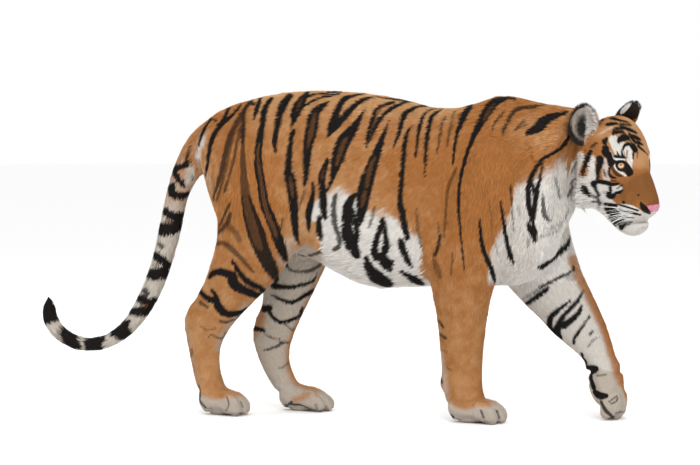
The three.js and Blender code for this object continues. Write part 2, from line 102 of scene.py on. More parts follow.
# Swellings and hollows of the face, both sides: place, reach along each axis, height.
FACE_FORMS = {
    "brow": ((20, 40, 30), (24, 24, 16), 7),
    "socket": ((34, 48, -6), (22, 20, 16), -12),
    "inner corner": ((46, 26, -22), (20, 14, 22), -7),
    "cheekbone": ((-14, 96, -40), (46, 40, 28), 6),
    "cheek": ((-40, 96, -108), (52, 46, 46), 15),
    "ruff": ((-58, 70, -128), (48, 38, 38), 36),
    "hollow": ((40, 62, -84), (22, 26, 26), -6),
    "whisker pad": ((92, 38, -126), (34, 28, 22), 10),
    "bridge": ((86, 22, -46), (36, 12, 26), 4),
}

# Middle lines of the legs, from the top down: x, y, z in millimetres.
LEG_LINES = {
    "foreleg_right": [
        (461, -83, 870), (466, -97, 755), (456, -107, 645), (427, -109, 530), (403, -103, 422),
        (399, -96, 345), (398, -90, 241), (397, -86, 161), (402, -85, 97), (414, -85, 47),
    ],
    "foreleg_left": [
        (513, 85, 865), (525, 99, 755), (545, 107, 635), (578, 109, 508), (628, 107, 411),
        (684, 105, 333), (731, 103, 263), (776, 101, 199), (801, 101, 152), (816, 101, 106),
    ],
    "hindleg_right": [
        (-289, -69, 895), (-249, -91, 780), (-223, -105, 645), (-234, -109, 550), (-276, -107, 461),
        (-322, -102, 388), (-377, -97, 327), (-412, -93, 273), (-419, -89, 207), (-409, -87, 140),
        (-394, -86, 83), (-367, -86, 48),
    ],
    "hindleg_left": [
        (-269, 71, 895), (-224, 93, 780), (-182, 105, 640), (-175, 107, 542), (-184, 103, 456),
        (-193, 97, 390), (-212, 91, 325), (-240, 87, 256), (-249, 84, 199), (-235, 82, 144),
        (-206, 81, 84), (-173, 81, 48),
    ],
}
TAIL_LINE = [
    (-386, 1, 872), (-433, 1, 838), (-469, 1, 802), (-503, 2, 751), (-531, 4, 681), (-549, 7, 606),
    (-570, 10, 518), (-601, 13, 421), (-646, 15, 329), (-701, 16, 256), (-768, 17, 210),
    (-840, 18, 198), (-915, 19, 220), (-962, 19, 276), (-967, 19, 349),
]

FLESH = [
    "head", "lower_jaw", "neck", "chest", "loin", "hindquarters",
    "upper_arm_right", "upper_arm_left", "foreleg_right", "foreleg_left",
    "paw_front_right", "paw_front_left", "thigh_right", "thigh_left",
    "hindleg_right", "hindleg_left", "paw_hind_right", "paw_hind_left",
    "tail_root", "tail_middle", "tail_end", "tail_tip",
]
PAIRED = ("upper_arm", "foreleg", "thigh", "hindleg")
# The coat is made in pieces, each over one side of some of the solids.
COAT_PIECES = {"coat_tail": ["tail"]}
for side in ("right", "left"):
    COAT_PIECES |= {
        f"coat_head_{side}": ["head", "lower_jaw"],
        f"coat_neck_{side}": ["neck"],
        f"coat_chest_{side}": ["chest"],
        f"coat_loin_{side}": ["loin"],
        f"coat_hindquarters_{side}": ["hindquarters"],
        f"coat_upper_arm_{side}": [f"upper_arm_{side}"],
        f"coat_foreleg_{side}": [f"foreleg_{side}", f"paw_front_{side}"],
        f"coat_thigh_{side}": [f"thigh_{side}"],
        f"coat_hindleg_{side}": [f"hindleg_{side}", f"paw_hind_{side}"],
    }


# ---------------------------------------------------------------- meshes
def only(*pieces):
    """Leaves just these pieces selected, the first one active."""
    bpy.ops.object.select_all(action="DESELECT")
    for piece in pieces:
        piece.select_set(True)
    bpy.context.view_layer.objects.active = pieces[0]


def apply(piece, kind, **settings):
    modifier = piece.modifiers.new(kind.lower(), kind)
    for name, value in settings.items():
        setattr(modifier, name, value)
    only(piece)
    bpy.ops.object.modifier_apply(modifier=modifier.name)


def new_piece(name, points, faces):
    mesh = bpy.data.meshes.new(name)
    mesh.from_pydata([tuple(p) for p in points], [], [tuple(f) for f in faces])
    return linked(name, mesh)


def linked(name, block):
    """A new object of the scene around its mesh, lamp or camera."""
    made = bpy.data.objects.new(name, block)
    bpy.context.collection.objects.link(made)
    return made


@contextmanager
def opened(mesh):
    """A mesh opened for changes to its faces, which are written back at the end."""
    form = bmesh.new()
    form.from_mesh(mesh)
    yield form
    form.to_mesh(mesh)
    form.free()


def edited(piece, action, **settings):
    """Runs one tool of edit mode on the whole of a piece."""
    only(piece)
    bpy.ops.object.mode_set(mode="EDIT")
    bpy.ops.mesh.select_all(action="SELECT")
    action(**settings)
    bpy.ops.object.mode_set(mode="OBJECT")


def dressed(piece, material):
    """Shades a piece smooth and makes this its one material."""
    only(piece)
    bpy.ops.object.shade_smooth()
    piece.data.materials.clear()
    piece.data.materials.append(material)


def read(block, name, width, kind=np.float32):
    """One property of every item of a mesh, as rows of the given width."""
    values = np.zeros(len(block) * width, kind)
    block.foreach_get(name, values)
    return values.reshape(-1, width) if width > 1 else values


def places(piece):
    return read(piece.data.vertices, "co", 3).astype(float)


def set_places(piece, points):
    piece.data.vertices.foreach_set("co", points.astype(np.float32).ravel())
    piece.data.update()


def outward(piece):
    return read(piece.data.vertex_normals, "vector", 3).astype(float)


def store(piece, name, values):
    attribute = piece.data.attributes.new(name, "FLOAT", "POINT")
    attribute.data.foreach_set("value", np.asarray(values, np.float32))


def surface_of(piece):
    return BVHTree.FromObject(piece, bpy.context.evaluated_depsgraph_get())


def triangles(piece):
    """The three points of each face of a piece of triangles."""
    return read(piece.data.loops, "vertex_index", 1, np.int32).reshape(-1, 3)


def areas(ends):
    """The area of each triangle."""
    return np.linalg.norm(np.cross(ends[:, 1] - ends[:, 0], ends[:, 2] - ends[:, 0]), axis=1) / 2


def shared(rows, weight):
    """Rows of three mixed by their weights."""
    return (rows * weight[..., None]).sum(1)


def unit(rows):
    return rows / np.maximum(np.linalg.norm(rows, axis=-1, keepdims=True), 1e-9)


def ease(values, low, high):
    """0 below low, 1 above high, smooth between."""
    share = np.clip((np.asarray(values, float) - low) / (high - low), 0, 1)
    return share * share * (3 - 2 * share)


def moved(matrix, points):
    """Points, as rows, carried by a 4 x 4 matrix."""
    table = np.array(matrix)
    return np.asarray(points, float) @ table[:3, :3].T + table[:3, 3]


def full_turn(count):
    """Even angles once round."""
    return np.arange(count) * 2 * math.pi / count


def squared(swing, power):
    """A sine or cosine bent towards a square: 2 is round, more is squarer."""
    return np.sign(swing) * np.abs(swing) ** (2 / power)


def bumps(points, forms):
    """The sum of soft bumps at points: their places, reaches and heights."""
    rise = np.zeros(points.shape[:-1])
    for place, reach, height in forms:
        rise += height * np.exp(-(((points - place) / reach) ** 2).sum(-1))
    return rise


def spline(points, shares):
    """Places at shares of a smooth curve through the points."""
    points = np.asarray(points, float)
    last = len(points) - 1
    along = np.clip(np.asarray(shares, float), 0, 1) * last
    before = np.minimum(along.astype(int), last - 1)
    t = (along - before)[:, None]
    padded = np.vstack([2 * points[0] - points[1], points, 2 * points[-1] - points[-2]])
    a, b, c, d = (padded[before + step] for step in range(4))
    return 0.5 * (2 * b + (c - a) * t + (2 * a - 5 * b + 4 * c - d) * t**2 + (3 * b - 3 * c + d - a) * t**3)


def ringed(name, rings, ends):
    """A closed body over rings of points, with a point at either end."""
    around = len(rings[0])
    points = np.vstack([*rings, ends])
    faces = []
    for ring in range(len(rings) - 1):
        for k in range(around):
            a, b = ring * around + k, ring * around + (k + 1) % around
            faces.append((a, a + around, b + around, b))
    first, last, end = len(points) - 2, len(points) - 1, (len(rings) - 1) * around
    for k in range(around):
        faces.append((first, k, (k + 1) % around))
        faces.append((last, end + (k + 1) % around, end + k))
    return facing_out(new_piece(name, points, faces))


def loft(name, stations, around=56, along=56, forms=()):
    """A closed tube through stations of the head, with the forms of the face raised on it."""
    cap, rows = 0.05, 5
    lifts = (np.arange(rows) + 0.35) / rows * math.pi / 2
    start = cap * (1 - np.cos(lifts))
    shares = np.concatenate([start, np.linspace(cap, 1 - cap, along), 1 - start[::-1]])
    scales = np.concatenate([np.sin(lifts), np.ones(along), np.sin(lifts[::-1])])
    form = spline(stations, shares)
    upper, lower, half, middle, power = form[:, 0:2], form[:, 2:4], form[:, 4], form[:, 5], form[:, 6]
    centre = lower + (upper - lower) * middle[:, None]
    turn = full_turn(around)
    sideways, upward = (squared(swing(turn), power[:, None]) for swing in (np.cos, np.sin))
    edge = np.where(upward[..., None] > 0, upper[:, None], lower[:, None])
    reach = np.abs(upward) * scales[:, None]
    side = centre[:, None] + (edge - centre[:, None]) * reach[..., None]
    across = sideways * (half * scales)[:, None]
    points = np.stack([side[..., 0], across, side[..., 1]], axis=-1)
    middles = np.stack([centre[:, 0], np.zeros(len(centre)), centre[:, 1]], axis=-1)
    points += unit(points - middles[:, None]) * bumps(points, forms)[..., None]
    return ringed(name, moved(HEAD, points * MM), moved(HEAD, middles[[0, -1]] * MM))


def facing_out(piece):
    with opened(piece.data) as form:
        bmesh.ops.recalc_face_normals(form, faces=form.faces)
    return piece


def joined(name, pieces):
    only(*pieces)
    bpy.ops.object.join()
    pieces[0].name = name
    pieces[0].data.name = name
    return pieces[0]


def keep_largest(piece):
    """Drops every loose shell but the largest."""
    with opened(piece.data) as form:
        unseen = set(form.verts)
        shells = []
        while unseen:
            start = unseen.pop()
            shell, front = [start], [start]
            while front:
                for edge in front.pop().link_edges:
                    for vert in edge.verts:
                        if vert in unseen:
                            unseen.remove(vert)
                            shell.append(vert)
                            front.append(vert)
            shells.append(shell)
        shells.sort(key=len)
        for shell in shells[:-1]:
            bmesh.ops.delete(form, geom=shell, context="VERTS")


def both_sides(place):
    x, y, z = place
    return [(x, y, z), (x, -y, z)]


def on_both_sides(forms):
    """Forms of one side and the same on the other: place, reach, height."""
    return [(at, reach, height) for place, reach, height in forms for at in both_sides(place)]


def in_head(points):
    """Points in the head's own frame, in millimetres."""
    return moved(HEAD.inverted(), points) / MM


def turned_to(way):
    """The turn that points the X axis along a way."""
    return Vector((1, 0, 0)).rotation_difference(way).to_matrix().to_4x4()


def eye_place(side):
    x, y, z = EYE_PLACE
    return Vector((x, y * side, z))


# ---------------------------------------------------------------- the viewpoint
class Viewpoint:
    """The camera's place. It turns a place in its 700 x 465 frame into a line through the scene."""

    target = Vector((0.026, 0.001, 0.566))
    azimuth = math.radians(14)
    elevation = math.radians(3)
    distance = 8.0
    lens = 0.133

    def __init__(self):
        level = math.cos(self.elevation)
        self.back = Vector(
            (math.sin(self.azimuth) * level, -math.cos(self.azimuth) * level, math.sin(self.elevation))
        )
        self.place = self.target + self.back * self.distance
        self.right = (-self.back).cross(Vector((0, 0, 1))).normalized()
        self.up = self.back.cross(self.right)
        self.pixels = self.lens / SENSOR * FRAME_SIZE[0]
        self.pixel_size = self.distance / self.pixels

    def line(self, across, down):
        """The direction through a place of the frame."""
        way = self.right * (across - FRAME_SIZE[0] / 2) - self.up * (down - FRAME_SIZE[1] / 2)
        return (way - self.back * self.pixels).normalized()

    def flat(self, points):
        """Points as places across the frame at the target's distance, in metres, and scaled depth."""
        away = np.array(points, float) - np.array(self.place)
        back, right, up = (np.array(way) for way in (self.back, self.right, self.up))
        depth = -(away @ back)
        scale = self.distance / depth
        return np.stack([away @ right * scale, away @ up * scale, depth * MARK_DEPTH], axis=1)

    def on(self, surface, across, down):
        """Where that line meets a surface, or the surface's nearest point beside it."""
        way = self.line(across, down)
        hit = surface.ray_cast(self.place, way)[0]
        if hit is None:
            depth = (self.target - self.place).dot(way)
            for _ in range(3):
                hit = surface.find_nearest(self.place + way * depth)[0]
                depth = (hit - self.place).dot(way)
        return hit


VIEW = Viewpoint()


# ---------------------------------------------------------------- the markings
# How much of a difference in depth counts between a mark and a place on the skin.
MARK_DEPTH = 0.35
# Dark marks as they run across the camera's frame: how dark each is, then its places and full widths.
RUMP_MARKS = [
    (1, (211, 118, 3), (203, 132, 4.5), (199, 146, 3.5)),
    (1, (227, 110, 4.5), (222, 121, 5), (216, 127, 3)),
    (1, (240, 105, 3), (230, 117, 4), (219, 127, 5), (210, 144, 5), (206, 177, 3)),
    (0.85, (251, 101, 3), (242, 112, 4.5), (230, 135, 6), (221, 171, 5), (213, 203, 3)),
    (0.7, (236, 121, 3), (217, 202, 3)),
    (0.75, (240, 116, 3), (235, 152, 3), (224, 193, 3)),
    (0.95, (250, 101, 4.5), (244, 109, 4.5), (242, 119, 4.5), (242, 144, 4)),
    (0.75, (242, 144, 4), (244, 187, 8.5), (246, 201, 10.5)),
    (0.97, (246, 201, 10.5), (254, 229, 17), (264, 257, 15), (271, 271, 12.5), (276, 281, 6)),
    (1, (259, 99, 4.5), (255, 111, 4.5), (252, 121, 1.5)),
    (1, (270, 99, 4.5), (264, 108, 6), (262, 119, 6), (258, 157, 8), (264, 203, 9), (270, 219, 10.5),
        (280, 248, 10), (287, 267, 3)),
    (1, (288, 96, 7), (282, 105, 9), (278, 115, 7), (274, 141, 5), (275, 155, 1.5)),
    (0.6, (283, 220, 2.5), (281, 229, 2.5)),
    (0.7, (215, 245, 4.5), (224, 245, 4.5), (232, 251, 6), (253, 273, 3)),
    (0.8, (230, 204, 3), (218, 231, 3)),
    (0.8, (230, 216, 4.5), (227, 225, 4.5), (217, 236, 4.5)),
    (0.5, (226, 227, 6), (234, 233, 6), (239, 241, 6)),
]
FLANK_MARKS = [
    (1, (306, 93, 5), (296, 108, 11), (290, 128, 2)),
    (1, (300, 100, 3), (308, 96, 3), (320, 94, 3), (330, 95, 3), (338, 94, 3)),
    (1, (303, 106, 3), (318, 98, 3), (330, 96, 3)),
    (1, (292, 132, 5), (289, 145, 5.5), (287, 171, 7.5), (289, 181, 11), (293, 208, 8.5), (295, 235, 6),
        (298, 247, 1.5)),
    (1, (327, 102, 2.5), (314, 113, 10), (310, 132, 12.5), (307, 145, 10), (304, 180, 5), (304, 187, 2)),
    (0.6, (304, 191, 2.5), (298, 211, 3)),
    (1, (311, 184, 2.5), (312, 195, 4.5), (308, 215, 7), (308, 233, 2)),
    (1, (318, 219, 4.5), (318, 231, 7), (320, 241, 2)),
    (1, (326, 93, 4), (339, 92, 4)),
    (1, (363, 94, 2.5), (342, 100, 6), (331, 124, 7.5), (326, 138, 2)),
    (1, (372, 97, 2.5), (361, 100, 5), (352, 107, 6), (333, 128, 7.5), (326, 138, 2)),
    (1, (364, 108, 1), (354, 126, 7.5), (342, 143, 14), (335, 163, 11), (330, 182, 4), (326, 192, 2.5)),
    (1, (326, 161, 4), (321, 177, 8), (321, 188, 7), (322, 202, 8.5), (323, 217, 6), (325, 219, 3)),
    (0.9, (335, 196, 4), (333, 202, 4.5), (333, 222, 6), (338, 239, 4.5), (337, 247, 4.5), (333, 250, 4.5)),
    (1, (353, 196, 4), (349, 202, 8.5), (346, 212, 10), (346, 234, 11.5), (350, 245, 13), (355, 255, 8.5),
        (356, 257, 4.5)),
    (1, (351, 209, 3), (355, 231, 6), (354, 242, 7)),
    (1, (388, 120, 1), (366, 180, 14), (360, 211, 11.5), (358, 226, 3)),
    (1, (392, 102, 4), (378, 107, 4), (373, 114, 4.5), (366, 138, 4), (364, 149, 1)),
    (1, (412, 102, 4), (401, 103, 4), (383, 114, 4.5), (373, 129, 4.5), (365, 148, 1)),
    (1, (375, 97, 2.5), (411, 102, 4)),
    (1, (425, 106, 3), (415, 107, 4), (403, 115, 5.5), (398, 132, 5), (391, 151, 1)),
    (1, (410, 127, 1), (404, 142, 5), (399, 199, 5), (400, 209, 7), (406, 239, 6)),
    (1, (399, 242, 7), (405, 259, 7), (411, 268, 3)),
    (1, (399, 272, 3), (413, 280, 8.5), (421, 284, 6)),
    (0.7, (373, 209, 3), (368, 228, 3.5)),
    (1, (381, 221, 4.5), (373, 249, 7), (376, 258, 7)),
    (1, (382, 219, 3), (385, 245, 7), (381, 257, 7)),
    (1, (375, 258, 8.5), (381, 259, 8.5), (388, 264, 8.5)),
    (1, (381, 264, 7), (388, 270, 7)),
    (1, (365, 258, 4.5), (366, 265, 8.5), (371, 274, 13), (378, 279, 14.5), (386, 284, 11.5)),
    (1, (435, 109, 2.5), (425, 112, 3), (419, 125, 4), (414, 158, 2.5)),
    (1, (441, 109, 2.5), (433, 114, 4), (429, 121, 4.5), (425, 145, 4.5), (423, 179, 1)),
    (0.8, (444, 117, 2.5), (441, 124, 3), (436, 155, 2)),
    (0.6, (415, 211, 2), (419, 242, 3.5), (422, 251, 2)),
]
SHOULDER_MARKS = [
    (0.7, (455, 111, 2.5), (451, 117, 2.5), (446, 147, 2.5)),
    (1, (459, 114, 1.5), (456, 120, 1.5)),
    (1, (475, 101, 3.5), (466, 110, 7), (456, 134, 4), (452, 166, 2.5)),
    (0.6, (456, 169, 3), (447, 193, 3.5), (443, 239, 2.5)),
    (0.9, (439, 237, 3.5), (436, 254, 3.5), (433, 257, 2.5)),
    (0.6, (437, 224, 2.5), (438, 233, 2.5)),
    (1, (505, 98, 4.5), (489, 107, 10.5), (468, 149, 4.5), (458, 201, 3.5), (464, 271, 1.5)),
    (0.8, (503, 111, 2.5), (493, 124, 2.5), (490, 137, 1)),
    (0.85, (551, 104, 3), (532, 106, 4), (513, 111, 4.5), (503, 129, 3.5), (502, 136, 1.5)),
    (0.7, (523, 121, 3), (513, 131, 2.5)),
    (0.7, (526, 124, 2), (518, 129, 2)),
    (1, (565, 112, 3), (545, 119, 10), (536, 128, 11), (525, 134, 4)),
    (1, (569, 134, 4), (561, 148, 4), (541, 160, 3)),
    (1, (541, 160, 3), (535, 168, 4), (528, 184, 5.5), (528, 207, 5.5), (531, 219, 4), (528, 227, 4),
        (532, 234, 7), (535, 244, 3)),
    (1, (542, 161, 2), (534, 204, 5.5), (533, 227, 4), (535, 234, 5.5)),
    (1, (529, 181, 4), (535, 199, 4)),
    (0.85, (541, 194, 2), (543, 214, 5), (546, 221, 5), (550, 223, 3)),
    (0.7, (555, 181, 3), (559, 201, 3)),
    (0.7, (543, 234, 2), (561, 225, 3), (569, 211, 2)),
    (0.6, (535, 241, 3), (555, 234, 3), (561, 227, 3)),
    (1, (538, 269, 3), (543, 267, 5.5), (566, 249, 5.5), (570, 241, 4)),
    (1, (479, 221, 2.5), (482, 247, 4.5), (491, 271, 5), (494, 283, 3.5)),
    (1, (500, 204, 2.5), (507, 247, 4.5), (510, 257, 6), (512, 265, 3.5)),
    (0.8, (510, 189, 2.5), (513, 233, 1.5)),
    (0.4, (488, 203, 1.5), (491, 219, 1.5), (492, 236, 1.5), (500, 264, 1.5)),
    (0.3, (518, 209, 3), (519, 217, 3)),
    (0.5, (528, 241, 3), (528, 247, 3)),
    (0.6, (523, 150, 1.5), (528, 151, 1.5), (533, 165, 1.5)),
    (0.5, (452, 254, 2.5), (451, 276, 2.5)),
    (1, (500, 98, 3.5), (513, 99, 3.5)),
    (0.5, (434, 262, 4.5), (437, 270, 7), (440, 278, 4.5)),
]
HIND_LEG_MARKS = [
    (1, (209, 279, 3.5), (212, 275, 6), (219, 273, 7), (231, 277, 9.5), (233, 284, 11), (239, 289, 9.5),
        (255, 296, 7), (261, 295, 5)),
    (1, (232, 263, 3.5), (244, 280, 6), (259, 289, 6), (263, 293, 6)),
    (1, (200, 293, 5), (207, 299, 6), (216, 303, 7), (219, 309, 8.5), (228, 315, 7), (247, 311, 3.5)),
    (1, (211, 291, 3.5), (215, 296, 5), (217, 303, 6)),
    (0.7, (200, 303, 3.5), (207, 308, 3.5)),
    (0.8, (219, 321, 2), (225, 323, 2.5), (240, 318, 2)),
    (0.6, (201, 327, 2), (207, 331, 1.5), (215, 329, 2)),
    (0.75, (207, 339, 1.5), (212, 335, 1.5), (216, 338, 2), (221, 339, 2), (226, 335, 1.5)),
    (0.5, (189, 351, 3), (191, 357, 3)),
    (0.8, (196, 387, 1.5), (200, 401, 2.5), (206, 408, 2)),
    (0.7, (227, 397, 1.5), (229, 405, 1.5), (226, 411, 1.5)),
    (0.45, (241, 402, 2), (243, 407, 2)),
    (0.55, (207, 412, 1), (228, 414, 1), (246, 413, 1)),
    (0.85, (299, 254, 3), (305, 255, 4), (319, 252, 3)),
    (0.8, (287, 269, 2), (293, 272, 3), (303, 273, 3), (311, 271, 4), (319, 266, 4)),
    (1, (273, 287, 6), (293, 288, 4), (311, 283, 3), (316, 277, 2)),
    (1, (271, 296, 2), (288, 303, 4), (297, 301, 4), (312, 292, 5)),
    (1, (261, 308, 7), (265, 310, 7), (269, 309, 7)),
    (1, (269, 313, 3.5), (275, 320, 4), (283, 323, 4), (299, 317, 3.5), (304, 311, 3)),
    (1, (255, 329, 5), (264, 331, 4)),
    (0.8, (265, 335, 1.5), (272, 339, 2), (280, 340, 2)),
    (0.7, (284, 324, 1.5), (292, 331, 2), (296, 330, 1.5)),
    (0.85, (264, 351, 2), (277, 347, 3), (283, 343, 3), (289, 343, 2)),
    (0.6, (279, 369, 2), (284, 367, 2), (291, 361, 1.5)),
    (0.85, (286, 405, 2.5), (290, 409, 2.5), (310, 412, 1), (328, 411, 1)),
    # These two paint the gaps between the toes dark: painted shade.
    (0.4, (316, 405, 3), (317, 410, 3)),
    (0.4, (326, 407, 3), (328, 410, 3)),
]
FORELEG_MARKS = [
    (0.8, (437, 318, 2), (443, 328, 3)),
    (0.8, (440, 335, 3), (446, 339, 3)),
    (0.6, (442, 351, 2), (447, 353, 2)),
    (0.8, (440, 375, 3), (442, 383, 3)),
    (0.5, (447, 368, 2), (451, 371, 2)),
    # These two paint the gaps between the toes of the front paw dark: painted shade.
    (0.7, (481, 411, 2.5), (484, 418, 2.5)),
    (0.7, (497, 411, 2.5), (499, 418, 2.5)),
    (0.9, (448, 412, 3), (457, 421, 3)),
    (0.5, (460, 422, 1), (502, 422, 1)),
    (1, (526, 306, 5), (544, 293, 5), (549, 289, 3)),
    (1, (540, 289, 3), (571, 273, 3), (574, 268, 3)),
    (0.6, (524, 300, 3), (538, 291, 3)),
    (1, (552, 331, 5), (550, 324, 6), (553, 316, 6), (571, 301, 2)),
    (1, (559, 340, 6), (557, 334, 9), (563, 318, 5), (576, 304, 4), (584, 292, 2)),
    (1, (565, 326, 7), (578, 315, 5), (582, 307, 3)),
    (1, (574, 344, 3), (576, 337, 3.5), (590, 317, 2)),
    (0.9, (590, 335, 3), (593, 332, 3)),
    (0.8, (588, 348, 1.5), (594, 340, 1.5), (600, 338, 1)),
    (1, (582, 354, 3), (586, 366, 3)),
    (1, (588, 368, 5), (596, 369, 6), (593, 372, 5)),
    (1, (591, 372, 3), (591, 380, 5), (594, 388, 5)),
    (1, (595, 392, 5), (600, 396, 8), (606, 396, 5)),
    (0.9, (601, 402, 3), (606, 411, 4), (613, 417, 3)),
    (0.8, (609, 402, 1.5), (617, 396, 1.5)),
    (0.85, (611, 404, 1.5), (616, 402, 1.5), (618, 398, 1.5)),
    (0.7, (616, 413, 1.5), (624, 412, 1.5)),
    (0.6, (597, 376, 2), (606, 375, 2)),
    (0.35, (569, 279, 6), (574, 279, 6)),
]
TAIL_MARKS = [
    (0.85, (197, 129, 2), (188, 155, 5.5), (194, 169, 5.5)),
    (1, (198, 128, 4), (192, 146, 5), (191, 160, 5), (199, 166, 5)),
    (1, (181, 150, 4.5), (175, 164, 5.5), (175, 176, 5.5), (183, 187, 5.5)),
    (1, (168, 186, 5.5), (171, 194, 8.5), (180, 198, 8.5), (190, 194, 4.5)),
    (1, (194, 178, 7), (201, 173, 8.5)),
    (1, (163, 213, 8), (171, 217, 8), (180, 220, 13), (186, 217, 10.5)),
    (1, (161, 231, 13), (170, 231, 13), (178, 227, 11.5), (183, 222, 10.5)),
    (0.8, (159, 246, 5), (161, 248, 5)),
    (0.9, (174, 251, 9), (176, 252, 9)),
    (1, (156, 258, 9), (169, 269, 10.5)),
    (1, (149, 276, 10.5), (164, 275, 13), (170, 269, 10.5)),
    (1, (165, 281, 5), (163, 291, 5)),
    (0.9, (144, 293, 6.5), (146, 295, 6.5)),
    (1, (138, 300, 8), (150, 305, 9), (154, 301, 5)),
    (1, (131, 313, 8), (145, 313, 10.5), (149, 308, 8)),
    (0.7, (148, 314, 4), (145, 320, 4)),
    (1, (111, 332, 13), (125, 336, 13)),
    (1, (121, 324, 8), (124, 332, 8)),
    (1, (91, 330, 16.5), (91, 354, 18.5), (91, 361, 16.5)),
    (1, (68, 326, 15), (68, 348, 16), (68, 356, 14)),
    (0.35, (60, 330, 10.5), (57, 346, 10.5)),
]
FACE_MARKS = [
    (1, (590, 151, 4), (586.5, 157, 6), (584.5, 164.5, 5), (582, 171, 4), (582.5, 179, 1.5)),
    (1, (581.5, 187.5, 6), (584, 191, 8.5), (587, 195, 4.5)),
    (1, (599, 157.5, 6), (599, 161, 9), (597, 172, 4.5), (596.5, 179, 4)),
    (1, (592.5, 183.5, 7), (597, 181.5, 4.5), (607, 183, 5), (610.5, 184.5, 4), (616.5, 184, 3),
        (619, 183, 1)),
    (1, (593.5, 186.5, 4.5), (595.5, 191, 3), (597.5, 196, 3.5)),
    (1, (609.5, 187.5, 3.5), (610, 191, 3), (608.5, 195, 5), (607, 196, 5), (606.5, 192.5, 1.5)),
    (1, (606.5, 192.5, 2.5), (608, 196.5, 5), (612.5, 196, 5), (615.5, 193, 3), (619, 192.5, 3.5),
        (622, 190, 1.5)),
    (0.8, (602.5, 191, 1), (604, 193.5, 1)),
    (0.8, (616.5, 188.5, 1.5), (622, 185, 1.5)),
    (1, (610.5, 166.5, 2.5), (608.5, 169.5, 3), (608.5, 174, 3), (611.5, 177, 3), (615.5, 178, 1.5)),
    (0.85, (612, 166.5, 2.5), (613.5, 171, 3.5), (618, 175, 3.5), (622, 176, 1.5)),
    (0.9, (603, 169.5, 1.5), (604, 174, 2.5), (605.5, 177, 1)),
    (0.9, (611, 180.5, 1.5), (615.5, 181, 1.5)),
    (1, (605.5, 145.5, 3), (604.5, 149.5, 8.5), (605.5, 153, 8), (607, 155.5, 4.5)),
    (1, (608.5, 153, 4.5), (610.5, 162.5, 8), (612.5, 161.5, 5), (615.5, 162, 3.5)),
    (1, (605.5, 138.5, 4), (604, 141, 6), (603.5, 142.5, 4)),
    (1, (614, 156, 2.5), (619, 156.5, 3.5), (624.5, 157.5, 2.5)),
    (1, (616.5, 151, 1), (618.5, 156, 2.5)),
    (1, (621.5, 149.5, 1.5), (622, 155, 2.5), (624, 157.5, 2.5)),
    (1, (622.5, 149.5, 2), (624, 145.5, 3), (627, 143.5, 4), (629.5, 144, 4)),
    (0.8, (627, 150.5, 1.5), (626.5, 158, 1)),
    (1, (618, 142.5, 2), (619, 139, 6), (624, 137, 8), (627.5, 137.5, 5)),
    (1, (632.5, 145.5, 6), (635, 149.5, 6)),
    (1, (633, 153, 2.5), (633, 159, 1)),
    (0.8, (637.5, 152, 1.5), (637, 158, 0.5)),
    (1, (601, 121, 4), (603, 119, 4.5), (608.5, 118, 4), (627, 121, 1.5)),
    (1, (605.5, 124.5, 2.5), (609.5, 123.5, 4.5), (616.5, 123, 2.5)),
    (1, (618, 120.5, 1.5), (628.5, 122, 1.5)),
    (1, (620, 123.5, 3), (630.5, 124.5, 2)),
    (1, (612.5, 133.5, 3), (613.5, 129.5, 4), (620, 126.5, 3)),
    (1, (615.5, 132, 4), (619, 131, 4), (623, 132, 2)),
    (1, (620, 127, 4), (625, 127.5, 4), (630.5, 129.5, 4), (636.5, 132.5, 2)),
    (1, (628.5, 133.5, 2.5), (633.5, 136, 4.5), (638, 138, 4), (640.5, 139.5, 1.5)),
    (1, (630.5, 136.5, 2.5), (634.5, 141, 3), (639, 142.5, 4), (643, 144.5, 1.5)),
    (1, (638, 145.5, 3), (647.5, 154, 1)),
    (0.9, (618, 124.5, 1.5), (635.5, 147.5, 1.5)),
    (1, (599, 113, 4), (604, 114, 4.5), (614.5, 116, 1.5)),
    (1, (623, 202, 3), (623.5, 202.5, 3)),
    (0.9, (638, 195, 2), (638.5, 195, 2)),
    (1, (619, 204.5, 2), (638, 210.5, 2)),
    (1, (619, 209, 2.5), (640, 215, 2.5)),
    (0.8, (620, 213, 1.5), (627, 217, 1.5), (634.5, 218, 1.5)),
    (1, (604, 204.5, 4), (615.5, 205.5, 4)),
    (1, (604.5, 208.5, 4.5), (612.5, 209.5, 4.5)),
    (1, (607, 213, 4), (615.5, 210.5, 4)),
    (1, (608.5, 217, 4), (618, 212, 4)),
    (1, (611.5, 220, 4), (619, 215, 4)),
    (1, (614, 224, 4.5), (623, 219, 4)),
    (1, (617, 227.5, 4.5), (624, 221, 4)),
    (1, (619, 229.5, 5.5), (625, 221.5, 5)),
    (0.8, (624, 225.5, 3.5), (627.5, 221, 3.5)),
    (0.8, (627.5, 224, 3.5), (630.5, 221, 3.5)),
    (0.9, (591.5, 196, 3), (598, 200, 3)),
    (0.9, (590.5, 201.5, 1.5), (599, 203, 3.5), (596.5, 206.5, 3.5)),
    (0.8, (576.5, 159, 2.5), (575.5, 164.5, 2.5), (570, 175, 1.5)),
    (0.7, (574.5, 180, 2.5), (569.5, 186.5, 2.5)),
    (0.85, (571.5, 190.5, 4), (567.5, 198, 4)),
    (0.6, (570.5, 197, 3.5), (572.5, 202.5, 3.5), (575.5, 205.5, 3.5)),
    (0.7, (585, 150.5, 1.5), (580, 155, 1.5)),
    (0.8, (595.5, 142.5, 3), (590.5, 146.5, 3)),
]
EYE_RIM_MARKS = [
    (1, (615.3, 162.2, 2.5), (618.2, 161.2, 2.2), (623, 161.2, 2.2), (626.8, 164, 3), (629.6, 168.4, 4),
        (631.5, 172.2, 4), (630.6, 174, 3)),
    (1, (616.3, 164.6, 1.5), (617.7, 167.4, 1.5), (621, 169.8, 2), (624.9, 170.3, 3), (627.7, 173, 4)),
    (1, (626.8, 168.4, 5), (628.7, 174, 5)),
]
NOSTRILS = [(1, (640.5, 202.5, 2), (642.5, 206.5, 5.5), (646, 210, 6), (649.5, 213.5, 3))]
